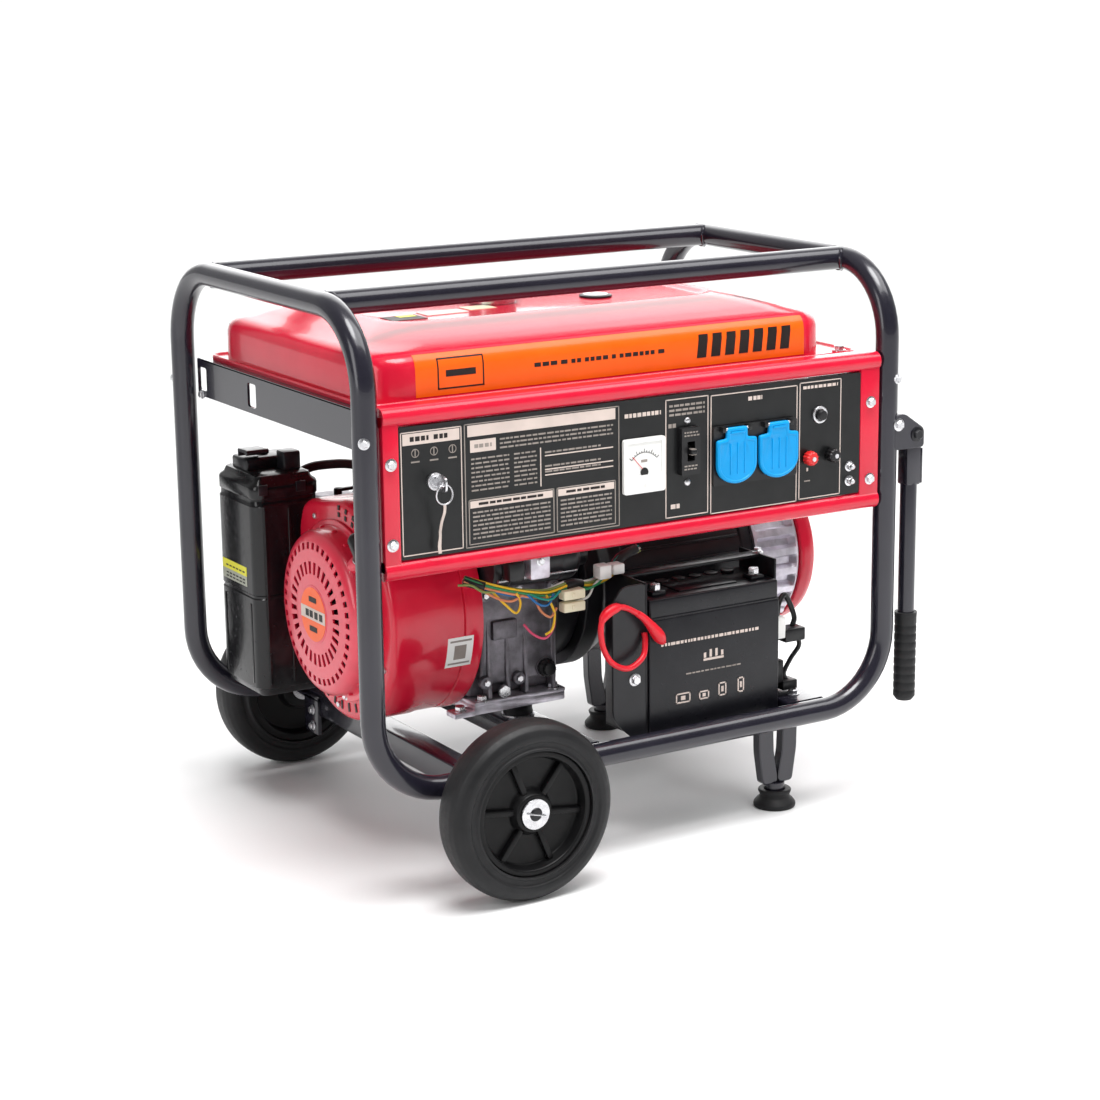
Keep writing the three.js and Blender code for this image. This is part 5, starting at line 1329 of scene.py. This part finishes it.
def build_air_cleaner():
    box = Piece("air_cleaner_box", stands_for=["air_cleaner"], slot="black_plastic")
    x0, x1, y0, y1 = -312, -226, 106, 213
    outline = rounded_outline(x0, x1, y0, y1, 15, steps=6)
    levels = ((145, 7), (147, 4.5), (153, 3), (155, 0.4), (158, 0), (262, 0), (263.5, 1.2), (266, 1.2),
              (267.5, 0), (372, 0), (374, 1.6), (380, 1.8), (382, 0.2), (394, 0), (397, 1.5), (400, 6),
              (406, 9), (408, 14))
    box.skin(stacked(outline, levels), GLOSS_BLACK)
    box.box(-300, -240, 150, 190, 404, 421, STEEL_BLACK, bevel=4, segments=3)
    box.box(-262, -240, 128, 150, 394, 429, STEEL_BLACK, bevel=3)
    for x in (-298, -268, -242):
        box.prism(filleted([(x - 1.6, 160), (x + 1.6, 160), (x + 1.6, 368), (x - 1.6, 368)], 1,
                           closed=True), "Y", y0 - 0.9,
                  y0 + 0.6, GLOSS_BLACK, bevel=0.4)
    for y in (124, 195):
        box.box(-312.8, -311, y - 1.6, y + 1.6, 160, 256, GLOSS_BLACK, bevel=0.6)
    box.box(-312.4, -311.6, 133, 199, 286, 297, YELLOW, bevel=0)
    box.box(-312.4, -311.6, 133, 199, 274, 286, LABEL_GREY, bevel=0)
    for z in (276.5, 280.5, 289.5):
        for y in range(138, 190, 9):
            box.box(-312.6, -312, y, y + 6, z, z + 1.8, INK_AND_SLOT_SHADE, bevel=0)
    box.screw((-270, 170, 421), "Z", 7, STEEL_BLACK)
    for x in (-300, -252):
        box.box(x - 6, x + 6, y0 - 1, y0 + 1, 386, 398, STEEL_BLACK, bevel=0.7)
    box.done()
    hose = Piece("breather_hose", slot="rubber")
    hose.tube(smooth_route([(-240, 150, 388), (-228, 150, 399), (-205, 146, 404), (-165, 134, 401),
                            (-134, 116, 378)]),
              5.5, RUBBER, sides=20)
    hose.done()
    latch = Piece("latch_spring_clip", body="latch", stands_for=["air_cleaner_latch"], slot="steel")
    latch.disc(3, -304, -276, 0.5, "X", (0, 140, 430), STEEL_BLACK, sides=24)
    latch.prism(filleted([(138, 428.4), (163, 428.4), (163, 422.8), (165.8, 422.8), (165.8, 432),
                          (140, 433)], 1.6,
                         closed=True), "X", -302.6, -277.4, STEEL_BLACK, bevel=0.5)
    latch.done()
    carb = Piece("carburettor_casting", stands_for=["carburettor"], slot="cast_aluminium")
    carb.box(-209.5, -160.5, 136.5, 175.5, 318, 366, ALUMINIUM, bevel=5, segments=3)
    carb.turned(filleted([(0, -225.4), (21, -225.4), (21, -218), (15.8, -216), (15.8, -156), (22, -154),
                          (22, -150.4), (0, -150.4)], 1.2), "X", (0, CARB_Y, CARB_Z), ALUMINIUM, sides=48)
    carb.turned(filleted([(0, 292), (15, 292), (18, 296), (18, 320), (0, 320)], 2.4), "Z",
                (CARB_X, CARB_Y, 0), MACHINED, sides=48)
    carb.bolt((CARB_X, CARB_Y, 292), (0, 0, -1), 8, washer=False)
    carb.done()
    choke = Piece("choke_lever_moulding", body="choke", stands_for=["choke_lever"], slot="black_plastic")
    choke.disc(5, 366.4, 374, 0.6, "Z", (CARB_X, CARB_Y - 10, 0), BLACK, sides=24)
    choke.prism(filleted([(-189, 142), (-189, 150), (-166, 148.5), (-158, 150), (-148, 150), (-148, 142),
                          (-158, 142), (-166, 143.5)], 1.8, closed=True), "Z", 370, 374, BLACK, bevel=0.6)
    choke.done()


MUFFLER = (24, 222, 348, 452)


def build_muffler():
    can = Piece("muffler_can", stands_for=["muffler"], slot="black_steel")
    outline = rounded_outline(*MUFFLER, 36, steps=10)
    rings = []
    for y, inset in ((84, 6), (84.6, 2.5), (87, 0.6), (90, 0), (138, 0), (138.6, 2.2), (143.4, 2.2),
                     (144, 0), (192, 0), (195, 0.6), (197.4, 2.5), (198, 6)):
        rings.append([(x, y, z) for x, z in inset_outline(outline, inset)])
    can.skin(rings, STEEL_BLACK)
    can.disc(15.8, 0, 28, 1, "X", (0, 150, 396), STEEL_BLACK, sides=40)
    can.collar(7.6, 11, 220, 246, 1, "X", (0, 120, 425), ZINC, sides=40)
    guard = [[x, 198.2, z] for x in (44, 202) for z in (372, 428)]
    for x, y, z in guard:
        can.screw((x, y, z), "Y", 4)
    # Dark slots on the guard: painted shade standing for its openings.
    for k in range(9):
        x = 60 + k * 15.5
        can.prism(rounded_outline(x - 3, x + 3, 372, 428, 2.9, steps=4), "Y", 197.6, 198.6, INK_AND_SLOT_SHADE, bevel=0)
    can.done()


# ---------------------------------------------------------------- alternator
def build_alternator():
    stator = Piece("stator_shell", stands_for=["stator_housing"], slot="black_steel")
    profile = [(30, 0.4), (103.6, 0.4), (103.8, 22), (95, 38), (92, 43), (92, 60), (90.4, 62),
               (90.4, 228), (92, 230), (92, 244.8), (62, 244.8), (62, 40), (30, 26)]
    stator.turned(filleted(profile, 2, closed=True), *ON_SHAFT, STEEL_BLACK, sides=120, loop=True)
    for k in range(28):
        turn = 2 * math.pi * k / 28
        faces = stator.box(64, 226, -1.5, 1.5, 89, 92.2, STEEL_BLACK, bevel=0.7)
        stator.placed(faces, turned_at(ON_SHAFT[1], turn))
    for k in range(8):
        turn = 2 * math.pi * (k + 0.5) / 8
        stator.bolt(on_ring(23, 98, turn), "X", 8, washer=False)
    stator.done()

    bell = Piece("bell_casting", stands_for=["end_bell"], slot="cast_aluminium")
    turns = [2 * math.pi * k / 144 for k in range(144)]

    def fin(turn, x):
        in_band = 252 < x < 300
        slot_here = math.cos(24 * turn) > 0.1
        return 9.0 if in_band and slot_here else 0.0

    rings = []
    xs = [245.4, 249, 252.5, 253, 268, 284, 299, 299.5, 305, 309, 312]
    radii = [95.6, 96, 96, 96, 96, 96, 96, 96, 96, 94, 90]
    for x, radius in zip(xs, radii):
        rings.append([on_ring(x, radius - fin(turn, x), turn) for turn in turns])
    inner = [(311, 18), (299, 18), (298, 78), (246, 84), (245.4, 92)]
    for x, radius in inner:
        rings.append([on_ring(x, radius, turn) for turn in turns])
    bell.skin(rings, SILVER_CAST_AND_FLANGE_HIGHLIGHT, loop=True)
    for side in (-1, 1):
        foot_y = side * ALTERNATOR_MOUNT_Y
        bell.box(251, 290, foot_y - 18, foot_y + 18, 152.5, 196, ALUMINIUM, bevel=3)
        bell.bolt((ALTERNATOR_X - 8, foot_y, 163.4), "Z", 14, height=7)
    bell.box(ALTERNATOR_X - 22, 290, -84, 84, 152.5, 163.6, ALUMINIUM, bevel=2)
    for k in range(4):
        turn = math.pi / 4 + k * math.pi / 2
        bell.tube([on_ring(246, 93, turn), on_ring(304, 93, turn)], 6.4, SILVER_CAST_AND_FLANGE_HIGHLIGHT, sides=20)
        bell.bolt(on_ring(303, 93, turn), "X", 9, washer=False)
    bell.done()

    cover = Piece("bell_cover_pressing", stands_for=["end_cover"], slot="red_paint")
    profile = [(84, 312.6), (94.6, 312.6), (95, 326), (92, 334), (84, 340), (60, 341), (0.5, 341),
               (0.5, 338.6), (83, 338.4), (89, 333)]
    cover.turned(filleted(profile, 3, closed=True, steps=4), *ON_SHAFT, RED, sides=112, loop=True)
    # Dark slits on the cover: painted shade standing for its vent openings.
    for k in range(14):
        for radius in (34, 56):
            turn = 2 * math.pi * k / 14
            half = 7 if radius > 40 else 5
            slit = cover.box(-0.5, 0.35, -half, half, -2, 2, INK_AND_SLOT_SHADE, bevel=0)
            cover.placed(slit, turned_at(on_ring(341, radius, turn), turn))
    for turn in (0.9, 2.5, 4.1, 5.6):
        cover.screw(on_ring(341, 74, turn), "X", 5)
    cover.done()


# ---------------------------------------------------------------- battery and wiring
BATTERY = (24, 205, -206, -129, 120, 283)


def build_battery():
    x0, x1, y0, y1, z0, z1 = BATTERY
    body = Piece("battery_casing", stands_for=["battery"], slot="black_plastic")
    body.box(x0, x1, y0, y1, z0, z1 - 24, BATTERY_BLACK, bevel=2.4, segments=3)
    body.box(x0 + 1.2, x1 - 1.2, y0 + 1.2, y1 - 1.2, z1 - 26, z1 - 1, BATTERY_BLACK, bevel=3, segments=3)
    body.box(x0 + 0.2, x1 - 0.2, y0 + 0.2, y1 - 0.2, z1 - 24.6, z1 - 22, BATTERY_BLACK, bevel=0.8)
    body.box(x0 + 50, x1 - 50, y0 + 14, y1 - 14, z1 - 4, z1 + 1, BATTERY_BLACK, bevel=2)
    for k in range(6):
        body.disc(8, z1 - 1, z1 + 2.6, 0.8, "Z",
                    (x0 + 34 + k * 23, y1 - 16, 0), BLACK, sides=28)
    for x in (x0 + 22, x1 - 22):
        body.box(x - 9, x + 9, y0 + 13, y0 + 31, z1 - 2, z1 + 4, BATTERY_BLACK, bevel=1)
        body.disc(6.4, z1 + 3, z1 + 11.5, 0.8, "Z",
                    (x, y0 + 22, 0), ZINC, sides=6)
    mark = y0 - 0.35
    draw = random.Random(8)

    def strokes(xa, xb, z, height, finish, words):
        at = xa
        while at < xb:
            width = min(draw.uniform(*words), xb - at)
            body.box(at, at + width, mark, y0 + 0.4, z, z + height, finish, bevel=0)
            at += width + draw.uniform(1, 2)

    strokes(40, 176, 226, 3.4, PRINT, (2.2, 6))
    strokes(74, 150, 188, 1.6, PRINT_DIM, (3, 8))
    for dx, tall in ((-12, 6), (-4, 9), (4, 9), (12, 6)):
        body.box(112 + dx - 1.6, 112 + dx + 1.6, mark, y0 + 0.4, 204, 204 + tall, PRINT, bevel=0)
    body.box(98, 126, mark, y0 + 0.4, 200.4, 203, PRINT, bevel=0)
    for x, width, height in ((60, 20, 12), (92, 14, 10), (119, 11, 16), (146, 9, 18)):
        for a, b, c, d in ((0, width, 0, 1.6), (0, width, height - 1.6, height), (0, 1.6, 0, height),
                           (width - 1.6, width, 0, height)):
            body.box(x + a, x + b, mark, y0 + 0.4, 155 + c, 155 + d, PRINT, bevel=0)
        body.box(x + width * 0.35, x + width * 0.65, mark, y0 + 0.4, 155 + height * 0.3,
                 155 + height * 0.7, PRINT, bevel=0)
    body.done()

    tray = Piece("battery_cradle", stands_for=["battery_tray"], slot="black_steel")
    tray.box(x0 - 5, x1 + 5, y0 - 4, y1 + 8, z0 - 3, z0 - 0.3, STEEL_BLACK, bevel=0.6)
    tray.box(x1 + 2, x1 + 30, y0 + 14, y1, 134.4, 137, STEEL_BLACK, bevel=0.6)
    side = filleted([(x0 - 14, z0 - 2.6), (x0 - 3, z0 - 2.6), (x0 - 3, z1 + 20), (x0 - 34, z1 + 20),
                     (x0 - 48, z1 + 4), (x0 - 48, 152), (x0 - 38, 138)], 8, closed=True, steps=4)
    tray.prism(side, "Y", y0 + 1, y0 + 4, STEEL_BLACK, bevel=0.5)
    tray.box(x0 - 5, x0 - 2, y0 + 1, y1 + 8, z0 - 2.6, z1 + 20, STEEL_BLACK, bevel=0.6)
    tray.box(x1 + 2, x1 + 5, y0 + 14, y1 + 8, z0 - 2.6, z1 + 20, STEEL_BLACK, bevel=0.6)
    tray.box(x0 - 5, x1 + 5, y0 + 44, y0 + 62, z1 + 16, z1 + 20, STEEL_BLACK, bevel=1)
    tray.bolt((5, y0 + 1, 193), FORWARD, 11)
    tray.bolt((x1 + 6, y0 + 53, z1 + 20), "Z", 10)
    tray.done()

    plug = Piece("sense_connectors", slot="black_plastic")
    plug.box(210, 222, -196, -176, 206, 232, WHITE, bevel=1.4)
    plug.box(221, 250, -197, -175, 200, 216, BLACK, bevel=2)
    plug.box(211, 224, -190, -172, 150, 178, BLACK, bevel=2)
    plug.box(222, 243, -192, -174, 140, 152, BLACK, bevel=2)
    plug.tube(smooth_route([(216, -186, 232), (220, -184, 246), (230, -180, 254), (238, -178, 246),
                            (244, -182, 226), (240, -184, 216)]), 3.2, BLACK, sides=12)
    plug.tube(smooth_route([(216, -182, 206), (214, -180, 196), (216, -180, 186), (217, -181, 178)]), 3.2,
              BLACK, sides=12)
    plug.tube(smooth_route([(246, -186, 203), (250, -184, 190), (240, -182, 176), (230, -182, 160),
                            (232, -183, 151)]),
              2.8, BLACK, sides=12)
    plug.done()


BATTERY_LEAD = [(36, -217, 234), (20, -218, 255), (3, -218, 272), (-24, -219, 285), (-47, -221, 275),
                (-49, -222, 248), (-37, -222, 224), (-14, -221, 213), (8, -217, 222), (15, -211, 238),
                (16, -208, 247)]
HARNESS = [(-188, -160, 326), (-160, -172, 316), (-124, -174, 306), (-90, -172, 300), (-58, -170, 306),
           (-30, -160, 300), (4, -150, 304), (30, -138, 318), (60, -126, 322)]


def build_wiring():
    lead = Piece("battery_lead", stands_for=["positive_cable"], slot="red_plastic")
    route = smooth_route(BATTERY_LEAD, 8)
    lead.tube(route, 3.3, CABLE_RED, sides=20)
    sleeves = ((0, 5, (3.2, 5.0, 6.4, 7.2, 7.4)),
               (4, 18, (7.4, 7.2, 6.8, 6.4, 6.0, 5.6, 5.2, 4.9, 4.6, 4.4, 4.2, 4.1, 4.0, 3.9)),
               (24, 34, (4.0, 5.2, 5.8, 6.0, 6.0, 5.9, 5.6, 5.2, 4.6, 3.8)))
    for start, stop, radii in sleeves:
        lead.tube(route[start:stop], list(radii), CABLE_RED, sides=24)
    lead.done()

    loom = Piece("wire_bundle", stands_for=["wiring_harness"], slot="black_plastic")
    route = smooth_route(HARNESS, 8)
    order = ["yellow", "green", "orange", "blue", "pink", "teal", "white", "olive"]
    for index, colour in enumerate(order):
        strand = []
        for k, point in enumerate(route):
            ahead = (route[min(k + 1, len(route) - 1)] - route[max(k - 1, 0)]).normalized()
            u, v = across(ahead)
            turn = 2 * math.pi * index / len(order) + 0.045 * k
            reach = 4.0 + 0.5 * math.sin(0.3 * k + index)
            strand.append(point + (u * math.cos(turn) + v * math.sin(turn)) * reach)
        loom.tube(strand, 1.45, WIRES[colour], sides=10)
    for start, stop in ((0, 7), (30, 38), (50, 64)):
        loom.tube(route[start:stop], 5.7, BLACK, sides=20)
    loom.done()

    strays = Piece("loose_wires", slot="black_plastic")
    branches = (
        ("yellow", [(-160, -174, 312), (-146, -180, 296), (-134, -181, 286), (-128, -180, 296),
                    (-132, -178, 308)]),
        ("orange", [(-176, -170, 318), (-158, -178, 306), (-140, -180, 300), (-124, -178, 304)]),
        ("olive", [(-196, -162, 322), (-184, -170, 322), (-172, -174, 314), (-158, -176, 312)]),
        ("blue", [(-118, -178, 304), (-106, -182, 292), (-94, -182, 290), (-84, -178, 300)]),
        ("teal", [(-112, -178, 302), (-100, -183, 297), (-88, -182, 296), (-76, -178, 302)]),
        ("yellow", [(-94, -178, 300), (-86, -182, 280), (-90, -184, 262), (-98, -182, 256)]),
        ("pink", [(-122, -176, 270), (-112, -180, 258), (-98, -182, 252), (-86, -180, 262),
                  (-82, -176, 276)]),
        ("green", [(-52, -178, 300), (-36, -176, 299), (-20, -170, 302), (-8, -164, 308)]),
        ("white", [(-60, -178, 286), (-40, -178, 290), (-28, -172, 300), (-14, -166, 306)]),
        ("orange", [(-108, -178, 296), (-104, -184, 284), (-92, -184, 276), (-82, -180, 284)]),
    )
    for colour, points in branches:
        strays.tube(smooth_route(points), 1.4, WIRES[colour], sides=10)
    for z0, z1 in ((291, 302), (277, 288)):
        strays.box(-74, -46, -184, -171, z0, z1, CREAM, bevel=1.6)
        strays.box(-64, -60, -185.2, -183, z0 + 3, z1 - 3, CREAM, bevel=0.6)
    strays.box(-22, -6, -176, -160, 306, 322, WHITE, bevel=2)
    strays.box(-2, 14, -172, -156, 308, 320, WHITE, bevel=2)
    strays.box(-112, -86, -176, -158, 318, 346, SILVER_CAST_AND_FLANGE_HIGHLIGHT, bevel=3)
    strays.bolt((-99, -176, 339), FORWARD, 8)
    strays.box(-140, -120, -178, -160, 320, 342, BLACK, bevel=3)
    strays.done()


# ---------------------------------------------------------------- carried-over inner pieces
def finish_inner_nodes():
    """The crankshaft keeps its CAD shape: it is seen only through the vents."""
    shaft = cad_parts["crankshaft"]
    shaft.data.materials.clear()
    shaft.data.materials.append(STEEL_BLACK)
    soften = shaft.modifiers.new("weld", "WELD")
    soften.merge_threshold = 1e-5
    edge = shaft.modifiers.new("bevel", "BEVEL")
    edge.width = 0.0006
    edge.segments = 2
    edge.limit_method = "ANGLE"
    edge.angle_limit = math.radians(40)


# ---------------------------------------------------------------- camera, floor and light
WHITE_WALL = (0.5, 0.79, 0.36)      # towards the brightest side of the room, behind the generator
ROOM_LEVELS = (0.12, 0.5)
WALL_LEVEL = 2.5
SUN_STRENGTH = 2.1
SUN_WAY = (0.1, 0.24, -1.0)
CAMERA_AT = Vector((-1.5386, -2.5601, 1.0215))
CAMERA_AIM = Vector((0.094, 0.0, 0.2653))
CAMERA_ROLL = math.radians(-0.32)
LENS = 84.9
LENS_SHIFT = (-0.0604, 0.01645)


def place_camera():
    data = bpy.data.cameras.new("camera")
    data.lens = LENS
    data.sensor_width = 36
    data.shift_x, data.shift_y = LENS_SHIFT
    data.clip_end = 60
    camera = bpy.data.objects.new("camera", data)
    SCENE.collection.objects.link(camera)
    back = (CAMERA_AT - CAMERA_AIM).normalized()
    right = Vector((0, 0, 1)).cross(back).normalized()
    up = back.cross(right)
    rolled_right = right * math.cos(CAMERA_ROLL) + up * math.sin(CAMERA_ROLL)
    rolled_up = up * math.cos(CAMERA_ROLL) - right * math.sin(CAMERA_ROLL)
    turn = Matrix((rolled_right, rolled_up, back)).transposed().to_4x4()
    camera.matrix_world = Matrix.Translation(CAMERA_AT) @ turn
    SCENE.camera = camera


def area_light(name, place, aim, width, height, power, shiny=True):
    """A softbox. One that isn't shiny only fills the shade, and leaves no highlight."""
    data = bpy.data.lights.new(name, "AREA")
    data.shape = "RECTANGLE"
    data.size, data.size_y = width, height
    data.energy = power
    lamp = bpy.data.objects.new(name, data)
    SCENE.collection.objects.link(lamp)
    lamp.location = place
    lamp.rotation_mode = "QUATERNION"
    lamp.rotation_quaternion = (Vector(aim) - Vector(place)).to_track_quat("-Z", "Y")
    lamp.visible_glossy = shiny


def place_stage():
    floor_mesh = bpy.data.meshes.new("floor")
    shape = bmesh.new()
    bmesh.ops.create_grid(shape, x_segments=1, y_segments=1, size=40)
    shape.to_mesh(floor_mesh)
    shape.free()
    floor = bpy.data.objects.new("floor", floor_mesh)
    SCENE.collection.objects.link(floor)
    floor.data.materials.append(surface("floor_paint", (0.82, 0.82, 0.82), 0.75, mottle=0.01, mottle_mm=400,
                                        grain=0.02, grain_mm=2))
    world = bpy.data.worlds.new("studio")
    world.use_nodes = True
    SCENE.world = world
    tree = world.node_tree
    background = tree.nodes["Background"]
    background.inputs[0].default_value = (1, 1, 1, 1)
    direction = node(tree, "ShaderNodeTexCoord")
    facing = node(tree, "ShaderNodeVectorMath", {"operation": "DOT_PRODUCT"})
    tree.links.new(direction.outputs["Generated"], facing.inputs[0])
    facing.inputs[1].default_value = WHITE_WALL
    level = node(tree, "ShaderNodeMath", {"operation": "ADD"})
    tree.links.new(ranged(tree, facing.outputs["Value"], -0.2, 0.75, *ROOM_LEVELS), level.inputs[0])
    tree.links.new(ranged(tree, facing.outputs["Value"], 0.78, 0.95, 0, WALL_LEVEL), level.inputs[1])
    tree.links.new(level.outputs[0], background.inputs[1])
    sun = bpy.data.lights.new("sun", "SUN")
    sun.energy = SUN_STRENGTH
    sun.angle = math.radians(30)
    sun_lamp = bpy.data.objects.new("sun", sun)
    SCENE.collection.objects.link(sun_lamp)
    sun_lamp.rotation_mode = "QUATERNION"
    sun_lamp.rotation_quaternion = Vector(SUN_WAY).to_track_quat("-Z", "Y")
    area_light("overhead_softbox", (0.75, -0.8, 2.4), (0.75, -0.1, 0.3), 3.0, 1.3, 52)
    area_light("left_softbox", (-2.6, -0.7, 1.3), (0, 0, 0.35), 0.9, 1.7, 17)
    area_light("front_softbox", (0.5, -3.0, 1.6), (0, 0, 0.4), 1.6, 1.2, 24, shiny=False)
    SCENE.view_settings.view_transform = "Standard"
    SCENE.view_settings.look = "None"


place_camera()
place_stage()
build_tube_frame()
build_cross_members()
build_axle()
build_wheels()
build_handles()
build_tank()
build_tank_brackets()
build_panel()
build_meter()
build_breaker()
build_sockets()
build_controls()
build_crankcase()
build_starter()
build_cylinder()
build_recoil()
build_housing()
build_air_cleaner()
build_muffler()
build_alternator()
build_battery()
build_wiring()
finish_inner_nodes()
